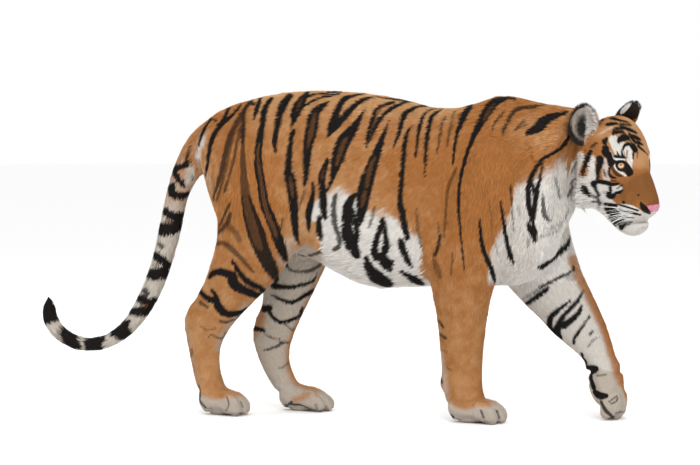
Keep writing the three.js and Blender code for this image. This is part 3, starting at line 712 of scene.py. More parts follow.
DARK_MARKS = (
    RUMP_MARKS + FLANK_MARKS + SHOULDER_MARKS + HIND_LEG_MARKS + FORELEG_MARKS + FACE_MARKS
    + EYE_RIM_MARKS + NOSTRILS
)
# The brown hair inside the widest dark marks.
BROWN_MARKS = [
    (0.8, (244, 178, 2), (245, 195, 4), (249, 215, 8), (257, 243, 8), (261, 251, 3)),
    (0.9, (259, 145, 1.5), (258, 157, 3), (264, 203, 4), (274, 232, 4.5), (276, 240, 2)),
    (0.9, (302, 97, 1), (298, 104, 3), (296, 111, 2)),
    (0.9, (289, 178, 2), (290, 186, 4), (292, 198, 2.5)),
    (0.9, (314, 112, 2), (310, 132, 5), (306, 150, 1)),
    (0.9, (346, 138, 2), (342, 144, 5), (335, 166, 3)),
    (0.8, (322, 169, 1), (321, 176, 2.5), (321, 182, 1)),
    (0.9, (373, 158, 2), (369, 168, 4.5), (365, 187, 4)),
    (0.9, (364, 193, 4), (362, 200, 4.5), (361, 208, 2)),
    (0.8, (385, 106, 1.5), (378, 110, 3), (368, 136, 1)),
    (0.7, (491, 105, 2), (486, 114, 4), (482, 123, 2)),
    (0.7, (166, 222, 4), (171, 224, 4)),
    (0.8, (153, 266, 3), (156, 267, 3)),
    (0.7, (140, 307, 3), (146, 308, 3)),
    (0.8, (615, 130, 1.5), (620, 129, 1.5)),
]
# Pale hair in the same form.
PALE_MARKS = [
    (0.3, (204, 132, 10), (198, 150, 14), (202, 175, 10), (208, 195, 6)),
    (0.55, (288, 245, 16), (285, 265, 20), (274, 283, 20), (262, 296, 14), (247, 306, 12), (234, 322, 10),
        (226, 338, 10), (220, 350, 8)),
    (0.35, (186, 320, 8), (187, 350, 8), (192, 370, 8), (197, 390, 8)),
    (0.5, (438, 330, 6), (442, 360, 7), (445, 385, 8), (448, 405, 8)),
    (0.7, (202, 140, 9), (199, 158, 10)),
    (0.85, (189, 171, 9), (188, 183, 11)),
    (0.6, (178, 205, 8), (177, 211, 8)),
    (0.85, (580, 156, 9), (575, 172, 13), (574, 190, 15), (578, 204, 12)),
    (0.9, (591, 157, 6), (590, 170, 9), (591, 182, 10)),
    (0.6, (604, 160, 5), (605, 170, 8), (606, 180, 8)),
    (0.5, (598, 134, 2), (605, 130, 2.5), (612, 126, 2.5)),
    (1, (612.5, 138.9, 9), (615.3, 145.5, 9), (619, 153, 9)),
    (1, (609.5, 152, 3), (611, 156.5, 4), (614, 159.4, 3.5), (618, 159.4, 3.5), (623, 159.6, 4)),
    (1, (623, 145.5, 8), (627.7, 149.3, 8), (629.6, 157.9, 7), (630.4, 165, 3.5), (631.4, 170, 1.5)),
    (1, (613.9, 163.6, 2.2), (616.3, 168.4, 2.4), (621, 172.2, 2.6), (625.3, 175.5, 2)),
    (0.9, (573, 184, 14), (588, 184, 16), (600, 190, 18), (614, 190, 12), (620, 188, 4)),
    (1, (588, 200, 12), (602, 205, 20), (612, 214, 20), (622, 224, 16)),
    (1, (620, 206.5, 6), (630, 212, 14), (640, 217, 12), (647, 219, 7)),
    (1, (622, 228, 14), (634, 229, 13), (643, 227, 10)),
]
# Orange hair over white: the tops of the paws and the inner sides of the far legs.
ORANGE_MARKS = [
    (0.8, (206, 392, 7), (215, 395, 9), (222, 395, 7)),
    (0.8, (227, 390, 6), (235, 392, 6)),
    (0.7, (295, 400, 7), (308, 395, 8)),
    (0.75, (457, 404, 8), (466, 406, 9), (473, 404, 8)),
    (0.7, (478, 402, 8), (487, 404, 7)),
    (0.7, (258, 297, 12), (260, 320, 12), (254, 334, 10)),
    (0.45, (292, 368, 7), (300, 384, 7), (305, 389, 7), (320, 389, 7)),
    (0.7, (574, 262, 14), (582, 279, 16), (594, 298, 17), (606, 319, 17), (612, 338, 15), (616, 360, 14),
        (619, 375, 12), (624, 382, 10)),
    (0.5, (612, 168, 2), (612, 174, 2), (617, 177, 2)),
]
# The edge between the orange flank and the white belly and chest, from the groin to the throat.
BELLY_EDGE = [
    (283, 240), (290, 233), (300, 228), (312, 207), (322, 196), (335, 192), (347, 194), (357, 202),
    (366, 211), (376, 216), (386, 215), (396, 222), (406, 232), (416, 238), (428, 247), (436, 262),
    (442, 288), (486, 288), (489, 262), (492, 250), (499, 236), (508, 222), (512, 208), (514, 192),
    (522, 184), (533, 182), (541, 176), (548, 172), (556, 168), (563, 163),
]


def leg_line(kind, side):
    return np.array(LEG_LINES[f"{kind}_{side}"], float) * MM


def leg_coordinates(points, line):
    """The share along a leg's middle line, and the offset from it: forward, along and aside."""
    flat = line[:, [0, 2]]
    starts, ways = flat[:-1], np.diff(flat, axis=0)
    sizes = (ways**2).sum(1)
    from_start = points[:, None, [0, 2]] - starts
    share = np.clip((from_start * ways).sum(-1) / sizes, 0, 1)
    away = ((from_start - share[..., None] * ways) ** 2).sum(-1)
    step = away.argmin(1)
    rows = np.arange(len(points))
    part = share[rows, step]
    way = unit(ways[step])
    rest = from_start[rows, step] - part[:, None] * ways[step]
    middle = line[step, 1] + part * (line[step + 1, 1] - line[step, 1])
    forward = rest[:, 0] * -way[:, 1] + rest[:, 1] * way[:, 0]
    along = (rest * way).sum(1)
    return step + part, forward, along, points[:, 1] - middle


def to_other_leg(points, kind, side):
    """Where points of one leg lie on the other leg of the pair."""
    other = {"right": "left", "left": "right"}[side]
    station, forward, along, aside = leg_coordinates(points, leg_line(kind, side))
    line = leg_line(kind, other)
    step = np.minimum(station.astype(int), len(line) - 2)
    part = (station - step)[:, None]
    way = unit(np.diff(line[:, [0, 2]], axis=0)[step])
    place = line[step] + part * (line[step + 1] - line[step])
    place[:, 0] += way[:, 0] * along - way[:, 1] * forward
    place[:, 2] += way[:, 1] * along + way[:, 0] * forward
    place[:, 1] -= aside
    return place


def to_other_side(points, region):
    """Where points lie on the other side of the animal."""
    other = points * (1, -1, 1)
    heights = points[:, 2] / MM
    away = ease(np.abs(points[:, 1]), 0.03, 0.1) * -np.sign(points[:, 1])
    hind = leg_shift("hindleg", heights) * ease(-points[:, 0], -0.02, 0.16)
    fore = leg_shift("foreleg", heights) * ease(points[:, 0], 0.24, 0.4) * ease(-points[:, 0], -0.76, -0.6)
    other[:, 0] += away * (hind + fore) * MM
    head = belongs(region, "head", "lower_jaw")
    other[head] = moved(HEAD, moved(HEAD.inverted(), points[head]) * (1, -1, 1))
    tail = belongs(region, "tail")
    line = np.array(TAIL_LINE, float)[::-1] * MM
    middle = np.interp(points[tail, 0], line[:, 0], line[:, 1])
    other[tail] = points[tail] * (1, -1, 1) + np.stack([0 * middle, 2 * middle, 0 * middle], axis=1)
    for kind, side, chosen in legs_among(region, LOWER_LEGS):
        other[chosen] = to_other_leg(points[chosen], kind, side)
    return other


WHOLE_LEGS = {"foreleg": ("upper_arm", "foreleg", "paw_front"), "hindleg": ("thigh", "hindleg", "paw_hind")}
LOWER_LEGS = {kind: parts[1:] for kind, parts in WHOLE_LEGS.items()}


def legs_among(region, legs):
    """Each leg that has points among those given: its kind, its side and which points are its own."""
    for kind, parts in legs.items():
        for side in ("right", "left"):
            chosen = belongs(region, *(f"{part}_{side}" for part in parts))
            if chosen.any():
                yield kind, side, chosen


def belongs(region, *starts):
    """Which points lie on the solids whose names start so."""
    return np.isin(region, [index for index, name in enumerate(FLESH) if name.startswith(starts)])


# What a point in no mark reads, and how far a mark's edge fades to either side. Millimetres.
OUTSIDE = -30.0
MARK_EDGE = 3
# Skin that faces the camera less than this counts as unseen.
UNSEEN = 0.08


class Marks:
    """Marks laid on the skin. They are measured across the camera's frame, and less in depth."""

    # Pixels of the frame between the places of a course, and its least full width.
    step = 2.5
    least_width = 0.4
    # Metres: a course is cut where its scaled depth jumps further, and marks are looked for this near.
    longest_jump = 0.025
    margin = 0.016

    def __init__(self, surface, marks):
        self.strokes = []
        for ink, *course in marks:
            course = np.array(course, float)
            length = np.linalg.norm(np.diff(course[:, :2], axis=0), axis=1).sum()
            course = spline(course, np.linspace(0, 1, max(int(length / self.step), 2) + 1))
            spots = VIEW.flat([VIEW.on(surface, across, down) for across, down, _ in course])
            halves = np.maximum(course[:, 2], self.least_width) * VIEW.pixel_size / 2
            joined_up = np.abs(np.diff(spots[:, 2])) < self.longest_jump
            self.strokes.append((ink, spots, halves, joined_up))

    def at(self, points, least=0.0):
        """How far inside the nearest mark each point is, in millimetres, and how dark the mark is."""
        flat = VIEW.flat(points)
        inside = np.full(len(points), OUTSIDE)
        inks = np.zeros(len(points))
        best = np.full(len(points), -1.0)
        for ink, spots, halves, joined_up in self.strokes:
            halves = np.maximum(halves, least)
            reach = halves.max() + self.margin
            low, high = spots.min(0) - reach, spots.max(0) + reach
            near = np.flatnonzero(((flat > low) & (flat < high)).all(1))
            if not len(near):
                continue
            starts, ways = spots[:-1][joined_up], np.diff(spots, axis=0)[joined_up]
            if not len(starts):
                continue
            first, grow = halves[:-1][joined_up], np.diff(halves)[joined_up]
            off = flat[near, None] - starts
            share = np.clip((off * ways).sum(-1) / np.maximum((ways**2).sum(-1), 1e-12), 0, 1)
            gap = np.linalg.norm(off - share[..., None] * ways, axis=-1)
            depth = ((first + share * grow - gap).max(1)) / MM
            value = ink * ease(depth, -MARK_EDGE, MARK_EDGE) + depth * 1e-4
            better = value > best[near]
            chosen = near[better]
            best[chosen] = value[better]
            inside[chosen] = depth[better]
            inks[chosen] = ink
        return inside, inks

    def both(self, points, other, unseen, least=0.0):
        """The same with the marks of the seen side repeated where the other side isn't seen."""
        inside, inks = self.at(points, least)
        if unseen.any():
            there, there_ink = self.at(other[unseen], least)
            own = inks[unseen] * ease(inside[unseen], -MARK_EDGE, MARK_EDGE)
            stronger = there_ink * ease(there, -MARK_EDGE, MARK_EDGE) > own
            rows = np.flatnonzero(unseen)[stronger]
            inside[rows] = there[stronger]
            inks[rows] = there_ink[stronger]
        return inside, inks


def region_of(points):
    """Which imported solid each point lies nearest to, as its place in FLESH."""
    form = bmesh.new()
    owners = []
    for index, name in enumerate(FLESH):
        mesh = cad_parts[name].data
        form.from_mesh(mesh)
        owners += [index] * len(mesh.polygons)
    surface = BVHTree.FromBMesh(form)
    form.free()
    near = [surface.find_nearest(Vector(point))[2] for point in points]
    return np.array(owners)[near]


class Pattern:
    """All the fields of colour on the skin: the dark, brown, pale and orange marks, and the tones."""

    def __init__(self, surface):
        self.dark = Marks(surface, DARK_MARKS)
        self.tail_rings = Marks(surface, TAIL_MARKS)
        self.brown = Marks(surface, BROWN_MARKS)
        self.pale = Marks(surface, PALE_MARKS)
        self.orange = Marks(surface, ORANGE_MARKS)
        edge = np.array([VIEW.on(surface, across, down) for across, down in BELLY_EDGE])
        self.edge = edge[np.argsort(edge[:, 0])]

    def white(self, points, region):
        """How white the ground colour is, from the belly, the inner sides, the paws and the tail."""
        level = np.interp(points[:, 0], self.edge[:, 0], self.edge[:, 2])
        level = np.where(points[:, 0] < self.edge[0, 0], self.edge[0, 2] - 0.04, level)
        level += 0.012 * wave(points, 55, 0.3) + 0.006 * wave(points, 150, 1.1)
        soft = np.where(points[:, 0] > 0.45, 0.05, 0.034)
        white = ease((level - points[:, 2]) / soft, -1, 1)
        rump = belongs(region, "hindquarters") & (points[:, 0] < -0.3)
        under_tail = ease(-points[:, 2], -0.78, -0.66) * ease(-np.abs(points[:, 1]), -0.09, -0.04)
        white[rump] = np.maximum(white[rump] * 0.3, under_tail[rump] * 0.8)
        left_shoulder = ease(points[:, 1], 0.085, 0.13) * ease(points[:, 0], 0.34, 0.44)
        white *= 1 - left_shoulder * ease(-points[:, 0], -0.72, -0.62)
        for kind, side, chosen in legs_among(region, WHOLE_LEGS):
            white[chosen] = self.white_of_leg(points[chosen], white[chosen], kind, side)
        tail = belongs(region, "tail")
        white[tail] = 0.15 + 0.8 * ease(self.along_tail(points[tail]), 0.08, 0.5)
        head = belongs(region, "head", "lower_jaw")
        white[head] = self.white_of_head(in_head(points[head]))
        return white

    def white_of_leg(self, points, before, kind, side):
        """White inside the leg and on the paw, and what the trunk's edge leaves of the chest."""
        _, _, _, aside = leg_coordinates(points, leg_line(kind, side))
        inner = -aside * side_of(side)
        height = points[:, 2]
        ahead = ease(points[:, 0], 0.47, 0.5) * ease(height, 0.4, 0.44) * (kind == "foreleg")
        faded = 1 - 0.6 * ease(height, 0.56, 0.68) * (kind == "hindleg")
        inside = np.maximum(ease(inner, -0.01, 0.034) * faded, ease(-height, -0.085, -0.04))
        return np.maximum(inside * 0.95, before * ahead)

    def white_of_head(self, local):
        """White throat, cheeks and lips."""
        throat = np.maximum(
            ease(-local[:, 2], 128, 150), ease(-local[:, 2], 90, 120) * ease(-local[:, 0], -30, 10)
        )
        return np.maximum(throat, ease(-local[:, 2], 104, 116) * ease(local[:, 0], 98, 112))

    def along_tail(self, points):
        line = np.array(TAIL_LINE, float) * MM
        step = ((points[:, None] - line) ** 2).sum(-1).argmin(1)
        return step / (len(line) - 1)

    def at(self, points, region, facing, least=0.0):
        """Every colour field at points: their solids, and how far they face the camera."""
        other = to_other_side(points, region)
        unseen = facing < UNSEEN
        fields = {}
        fields["dark"], fields["ink"] = self.dark.both(points, other, unseen, least)
        tail = belongs(region, "tail")
        rings = self.tail_rings.both(points[tail], other[tail], unseen[tail], least)
        fields["dark"][tail], fields["ink"][tail] = rings
        fields["brown"], fields["brown_ink"] = self.brown.both(points, other, unseen)
        soft = {}
        for name in ("pale", "orange"):
            inside, ink = getattr(self, name).both(points, other, unseen)
            blur = np.where(belongs(region, "head", "lower_jaw"), 3, 13)
            soft[name] = ink * ease(inside, -blur, blur)
        white = np.maximum(self.white(points, region), soft["pale"])
        fields["pale"] = white * (1 - soft["orange"])
        tip = self.tail_tip(points, region)
        fields["dark"] = np.maximum(fields["dark"], tip)
        fields["ink"] = np.where(tip > -6, 1.0, fields["ink"])
        return fields

    def tail_tip(self, points, region):
        """Millimetres inside the black end of the tail."""
        tail = belongs(region, "tail")
        beyond = (points[:, 2] - TAIL_BLACK[1]) * 0.95 + (TAIL_BLACK[0] - points[:, 0]) * 0.3
        return np.where(tail & (points[:, 0] < TAIL_BLACK[0] + 0.06), beyond / MM, OUTSIDE)


# Where the black end of the tail starts: x and z in metres.
TAIL_BLACK = (-0.966, 0.268)


# ---------------------------------------------------------------- the lie and length of the coat
# Guides on the right side of the body: place in millimetres, the way the hair lies, its length.
BODY_GUIDES = [
    ((500, -60, 980), (-1, -0.1, -0.15), 22),
    ((100, -50, 990), (-1, 0, -0.1), 20),
    ((-350, -80, 930), (-1, -0.1, -0.35), 22),
    ((-200, -60, 980), (-1, 0, -0.15), 20),
    ((100, -180, 800), (-1, 0, -0.45), 22),
    ((-80, -170, 760), (-0.9, 0, -0.5), 22),
    ((280, -180, 760), (-0.8, 0, -0.6), 22),
    ((100, -180, 560), (-1, 0, -0.45), 22),
    ((200, -60, 410), (-1, 0, -0.15), 30),
    ((0, -60, 420), (-1, 0, -0.15), 30),
    ((100, -130, 440), (-1, 0, -0.35), 27),
    ((-100, -80, 480), (-0.9, 0, -0.3), 29),
    ((300, -90, 410), (-0.9, 0, -0.3), 27),
    ((-200, -80, 540), (-0.6, 0, -0.8), 26),
    ((400, -150, 600), (-0.7, 0, -0.7), 22),
    ((560, -60, 440), (-0.3, 0, -1), 28),
    ((650, -40, 600), (0.15, 0, -1), 30),
    ((670, -60, 700), (-0.3, 0, -0.9), 32),
    ((740, -50, 660), (-0.5, 0, -0.8), 34),
    ((620, -120, 800), (-0.75, -0.1, -0.65), 26),
    ((700, -60, 950), (-1, 0, -0.1), 26),
    ((760, -110, 850), (-0.9, 0, -0.4), 26),
    ((450, -170, 800), (-0.45, 0, -0.9), 20),
    ((-300, -160, 760), (-0.7, 0, -0.7), 24),
    ((-400, -60, 760), (-0.4, 0, -0.9), 26),
]
# Guides of the face and head in the head's own frame.
HEAD_GUIDES = [
    ((122, 0, -58), (-1, 0, 0.75), 4),
    ((90, 14, -14), (-0.75, 0.1, 0.65), 5),
    ((60, 14, 20), (-0.7, 0.1, 0.7), 7),
    ((20, 20, 66), (-0.75, 0.1, 0.6), 10),
    ((-40, 20, 108), (-1, 0.05, 0.05), 14),
    ((-110, 30, 98), (-1, 0, -0.2), 22),
    ((118, 45, -92), (-1, 0.3, 0.15), 5),
    ((95, 55, -125), (-1, 0.4, -0.15), 6),
    ((60, 62, -70), (-1, 0.35, -0.05), 7),
    ((34, 74, -38), (-0.9, 0.4, -0.2), 7),
    ((30, 45, 38), (-0.6, 0.35, 0.7), 7),
    ((0, 90, 24), (-0.9, 0.3, 0.15), 10),
    ((-10, 108, -62), (-0.9, 0.25, -0.3), 14),
    ((10, 95, -120), (-0.9, 0.25, -0.35), 16),
    ((-55, 118, -30), (-0.95, 0.15, -0.2), 26),
    ((-50, 115, -110), (-0.8, 0.15, -0.55), 46),
    ((-40, 80, -160), (-0.7, 0.15, -0.7), 50),
    ((40, 55, -170), (-0.9, 0.2, -0.35), 14),
    ((100, 20, -195), (-0.7, 0, -0.7), 12),
    ((50, 20, -205), (-0.85, 0, -0.5), 18),
    ((-20, 30, -180), (-0.75, 0, -0.65), 38),
    ((-75, 95, 70), (-0.7, 0.3, 0.3), 14),
    ((-140, 80, 50), (-1, 0.1, -0.2), 26),
]
# How the hair shortens down a leg: length at the top, the middle and the foot. Millimetres.
LEG_HAIR = [24, 22, 20, 17, 14, 12, 10, 8]
TAIL_HAIR = (24, 30)


def columns(rows):
    return [np.array(column, float) for column in zip(*rows, strict=True)]


def mirrored(guides):
    """Guides of one side and the same on the other: place, way, length."""
    return [
        (at, lies, length)
        for place, way, length in guides
        for at, lies in zip(both_sides(place), both_sides(way), strict=True)
    ]


def limb_guides(line, lengths, beside):
    """Guides on either side of a limb's middle line, each lying along it."""
    line = np.array(line, float)
    return [
        (place + (0, aside, 0), way, length)
        for place, way, length in zip(line, np.gradient(line, axis=0), lengths, strict=True)
        for aside in (-beside, beside)
    ]


def coat_guides():
    """Every guide of both sides, in metres: places, ways and hair lengths."""
    guides = mirrored(BODY_GUIDES)
    for line in LEG_LINES.values():
        shares = np.linspace(0, 1, len(line))
        lengths = np.interp(shares, np.linspace(0, 1, len(LEG_HAIR)), LEG_HAIR)
        guides += limb_guides(line, lengths, 60)[2:]
        x, y, z = line[-1]
        guides.append(((x + 60, y, max(z - 10, 40)), (0.8, 0, -0.5), LEG_HAIR[-1]))
    guides += limb_guides(TAIL_LINE, np.linspace(*TAIL_HAIR, len(TAIL_LINE)), 20)
    at, ways, lengths = columns(guides)
    face_at, face_ways, face_lengths = columns(mirrored(HEAD_GUIDES))
    face_ways = face_ways @ np.array(HEAD)[:3, :3].T
    return (
        np.vstack([at * MM, moved(HEAD, face_at * MM)]),
        unit(np.vstack([ways, face_ways])),
        np.concatenate([lengths, face_lengths]),
    )


GUIDES = coat_guides()

# How deep the ground colour is: place on the right side, 0 buff to 0.5 orange to 1 russet.
BODY_TONES = [
    ((500, -60, 980), 0.45), ((300, -60, 980), 0.1), ((100, -60, 980), 0.0), ((-200, -60, 980), 0.05),
    ((-350, -80, 930), 0.45), ((400, -150, 880), 0.42), ((100, -160, 880), 0.3), ((-150, -160, 880), 0.3),
    ((450, -170, 780), 0.6), ((450, -170, 640), 0.6), ((250, -180, 760), 0.45), ((100, -190, 720), 0.25),
    ((-100, -180, 720), 0.28), ((280, -180, 600), 0.35), ((100, -190, 600), 0.18), ((-60, -170, 600), 0.15),
    ((-250, -170, 740), 0.45), ((-220, -170, 620), 0.5), ((-400, -80, 760), 0.25), ((640, -120, 880), 0.25),
    ((620, -120, 760), 0.5), ((740, -90, 900), 0.3), ((-260, -150, 500), 0.3), ((-380, -130, 340), 0.25),
    ((-410, -120, 200), 0.22), ((430, -150, 480), 0.38), ((400, -130, 300), 0.28), ((400, -120, 150), 0.28),
    ((-500, -30, 780), 0.35), ((-560, -30, 560), 0.25),
]
FACE_TONES = [
    ((122, 0, -58), 1.0), ((84, 0, -20), 1.2), ((90, 30, -36), 1.1), ((60, 12, 22), 0.0),
    ((30, 0, 60), 0.0), ((-40, 0, 108), 0.0),
    ((-110, 0, 98), 0.5), ((60, 62, -70), 0.8), ((0, 95, 10), 0.25), ((-10, 108, -60), 0.25),
    ((40, 50, -150), 0.25), ((-60, 110, 0), 0.4), ((-60, 100, -120), 0.2), ((120, 40, -90), 0.7),
]


def tone_guides():
    body, face = (
        columns([(at, tone) for place, tone in tones for at in both_sides(place)])
        for tones in (BODY_TONES, FACE_TONES)
    )
    return np.vstack([body[0] * MM, moved(HEAD, face[0] * MM)]), np.concatenate([body[1], face[1]])


TONES = tone_guides()


def blended(points, at, near, power, *tables, batch=8192):
    """What the guides say at points, the nearest guides counting most."""
    blends = [np.zeros((len(points), *table.shape[1:])) for table in tables]
    for start in range(0, len(points), batch):
        part = slice(start, start + batch)
        away = ((points[part, None] - at) ** 2).sum(-1)
        weight = 1 / (away + near) ** power
        weight /= weight.sum(1, keepdims=True)
        for blend, table in zip(blends, tables, strict=True):
            blend[part] = weight @ table
    return blends


def lie_of_coat(points):
    """The hair's length in millimetres and the way it lies."""
    at, ways, lengths = GUIDES
    length, way = blended(points, at, 0.0004, 1.8, lengths, ways)
    return length, unit(way)


# ---------------------------------------------------------------- the skin
def side_of(name):
    return -1 if name.endswith("right") else 1


def leg_shift(kind, heights):
    """How far ahead of the right leg of a pair its left leg stands, at heights in millimetres."""
    right, left = (np.array(LEG_LINES[f"{kind}_{side}"], float)[::-1] for side in ("right", "left"))
    gap = np.interp(heights, left[:, 2], left[:, 0]) - np.interp(heights, right[:, 2], right[:, 0])
    top = right[-1, 2]
    return gap * ease(-np.asarray(heights, float), -top - 60, -top + 40)


# Muscles and hollows of the right side: which legs they follow, place, reach, height. Millimetres.
BODY_FORMS = [
    ("foreleg", (480, -150, 800), (70, 60, 110), 7),
    ("foreleg", (505, -110, 905), (34, 50, 50), 5),
    ("foreleg", (362, -170, 700), (24, 70, 160), -9),
    ("foreleg", (420, -185, 640), (60, 50, 70), 7),
    ("foreleg", (572, -140, 650), (44, 50, 50), 8),
    ("foreleg", (600, -120, 790), (26, 50, 110), -7),
    ("foreleg", (345, -140, 500), (26, 44, 30), 7),
    ("foreleg", (452, -140, 430), (30, 44, 60), 4),
    ("foreleg", (330, -120, 330), (24, 40, 60), -3),
    (None, (150, -190, 610), (170, 60, 120), 5),
    (None, (560, -60, 950), (60, 50, 30), 4),
    ("hindleg", (-120, -170, 650), (60, 50, 110), -9),
    ("hindleg", (-255, -165, 690), (90, 60, 120), 9),
    ("hindleg", (-190, -105, 930), (44, 40, 30), 6),
    ("hindleg", (-400, -110, 800), (44, 50, 60), 5),
    ("hindleg", (-375, -150, 590), (22, 44, 90), -4),
    ("hindleg", (-105, -150, 545), (38, 44, 44), 6),
    ("hindleg", (-320, -140, 430), (44, 44, 50), 5),
    ("hindleg", (-440, -100, 340), (14, 40, 50), -5),
    ("hindleg", (-395, -100, 250), (20, 40, 30), 3),
    ("hindleg", (-312, -115, 66), (22, 34, 20), 7),
    ("foreleg", (472, -115, 64), (22, 34, 20), 4),
]


def body_forms():
    """The muscles and hollows of both sides, each side's with its own legs."""
    forms = []
    for legs, place, reach, height in BODY_FORMS:
        forms.append((place, reach, height))
        ahead = float(leg_shift(legs, place[2])) if legs else 0
        forms.append(((place[0] + ahead, -place[1], place[2]), reach, height))
    return forms


def flesh_copy(name, growth=0.25 * MM):
    """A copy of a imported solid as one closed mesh, a hair fatter, so that the cuts between parts close."""
    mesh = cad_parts[name].data.copy()
    with opened(mesh) as form:
        bmesh.ops.remove_doubles(form, verts=form.verts, dist=0.01 * MM)
        form.normal_update()
        for vert in form.verts:
            vert.co += vert.normal * growth
    return linked(f"{name}_flesh", mesh)


def head_flesh():
    """The skull, the closed jaw and the lids, as separate closed meshes."""
    pieces = [loft("skull", SKULL, forms=on_both_sides(FACE_FORMS.values())), loft("jaw", JAW)]
    for place in both_sides(EYE_PLACE):
        bpy.ops.object.select_all(action="DESELECT")
        bpy.ops.mesh.primitive_uv_sphere_add(
            segments=32, ring_count=20, radius=LID["radius"], location=HEAD @ Vector(place)
        )
        bpy.ops.object.transform_apply()
        pieces.append(bpy.context.object)
    return pieces


def remeshed(piece, size, rounds, factor=0.5):
    """One closed surface of even squares, softened."""
    apply(piece, "REMESH", mode="VOXEL", voxel_size=size, adaptivity=0)
    apply(piece, "SMOOTH", factor=factor, iterations=rounds)
    return piece


def refine(piece, chosen):
    """Splits each chosen face in four."""
    with opened(piece.data) as form:
        form.faces.ensure_lookup_table()
        edges = {edge for index in np.flatnonzero(chosen) for edge in form.faces[int(index)].edges}
        bmesh.ops.subdivide_edges(form, edges=list(edges), cuts=1, use_grid_fill=True)
        bmesh.ops.triangulate(form, faces=[face for face in form.faces if len(face.verts) > 4])


def lifted_paw(points):
    ahead_of, left_of = LIFTED_PAW
    return (points[:, 0] > ahead_of) & (points[:, 1] > left_of)


def fine_areas(points, level):
    """Which places are made of finer squares: the head and paws, then the face again."""
    local = in_head(points)
    near = np.linalg.norm(local - HEAD_MIDDLE, axis=1) < HEAD_REACH
    if level == 2:
        return near & (local[:, 0] > -50)
    head = near & (local[:, 0] > -115)
    return head | (points[:, 2] < 0.085) | (lifted_paw(points) & (points[:, 2] < 0.17))


def snapped(points, surface, share):
    """Points drawn to the nearest place of a surface by a share for each."""
    drawn = points.copy()
    for index in np.flatnonzero(share > 0.001):
        near = surface.find_nearest(Vector(points[index]))[0]
        drawn[index] += (np.array(near) - points[index]) * share[index]
    return drawn


def eye_frame(side):
    """An eye's own frame: X looks out between the lids, Y runs along the slit."""
    look = Vector((LID_LOOK.x, LID_LOOK.y * side, LID_LOOK.z))
    spin = Matrix.Rotation(LID["tilt"] * side, 4, "X")
    return HEAD @ Matrix.Translation(eye_place(side)) @ turned_to(look) @ spin


def almond(local):
    """How far out of the slit between the lids places are: under 1 inside it."""
    return (np.abs(local[:, 1:] / (LID["length"], LID["height"])) ** LID["power"]).sum(1)


def open_lids(points):
    """Sinks the skin between the lids behind the eyeball and keeps the lids round it."""
    for side in (-1, 1):
        turn = eye_frame(side)
        local = moved(turn.inverted(), points)
        reach = np.linalg.norm(local, axis=1)
        slit = almond(local)
        front = (local[:, 0] > 0.002) & (reach < 0.03)
        inside = front & (slit < 1.0)
        lid = front & (slit >= 1.0) & (slit < 2.6)
        level = reach.copy()
        level[inside] = 0.0145
        level[lid] = np.maximum(reach[lid], EYE_RADIUS + 0.0024 - 0.0012 * ease(slit[lid], 1.6, 2.6))
        changed = inside | lid
        local[changed] *= (level[changed] / reach[changed])[:, None]
        points[changed] = moved(turn, local[changed])
    return points


def mouth_distance(local):
    """Signed height over the line of the mouth, in the head's millimetres."""
    (front_x, front_z), (corner_x, corner_z) = ([value / MM for value in end] for end in MOUTH.values())
    slope = math.atan2(front_z - corner_z, front_x - corner_x)
    return (local[:, 2] - corner_z) * math.cos(slope) - (local[:, 0] - corner_x) * math.sin(slope)


def shape_face(points, normals):
    """The line of the mouth, the groove under the nose and the lips."""
    local = in_head(points)
    height = mouth_distance(local)
    along = ease(local[:, 0], 30, 52)
    groove = np.exp(-((height / 2.4) ** 2)) * along * -5.5
    upper_lip = np.exp(-(((height - 9) / 7) ** 2)) * ease(local[:, 0], 50, 90) * 2.0
    lower_lip = np.exp(-(((height + 8) / 6) ** 2)) * ease(local[:, 0], 50, 90) * 1.2
    middle = np.exp(-((local[:, 1] / 2.6) ** 2))
    under_nose = middle * ease(local[:, 0], 122, 132) * ease(height, 2, 8)
    under_nose *= ease(-local[:, 2], 108, 116) * -3.5
    rise = groove + upper_lip + lower_lip + under_nose
    rise *= local[:, 0] > 20
    return points + normals * (rise * MM)[:, None]


# The edge of the squares that the head and the paws are modelled in.
FINE_SQUARE = 0.0026


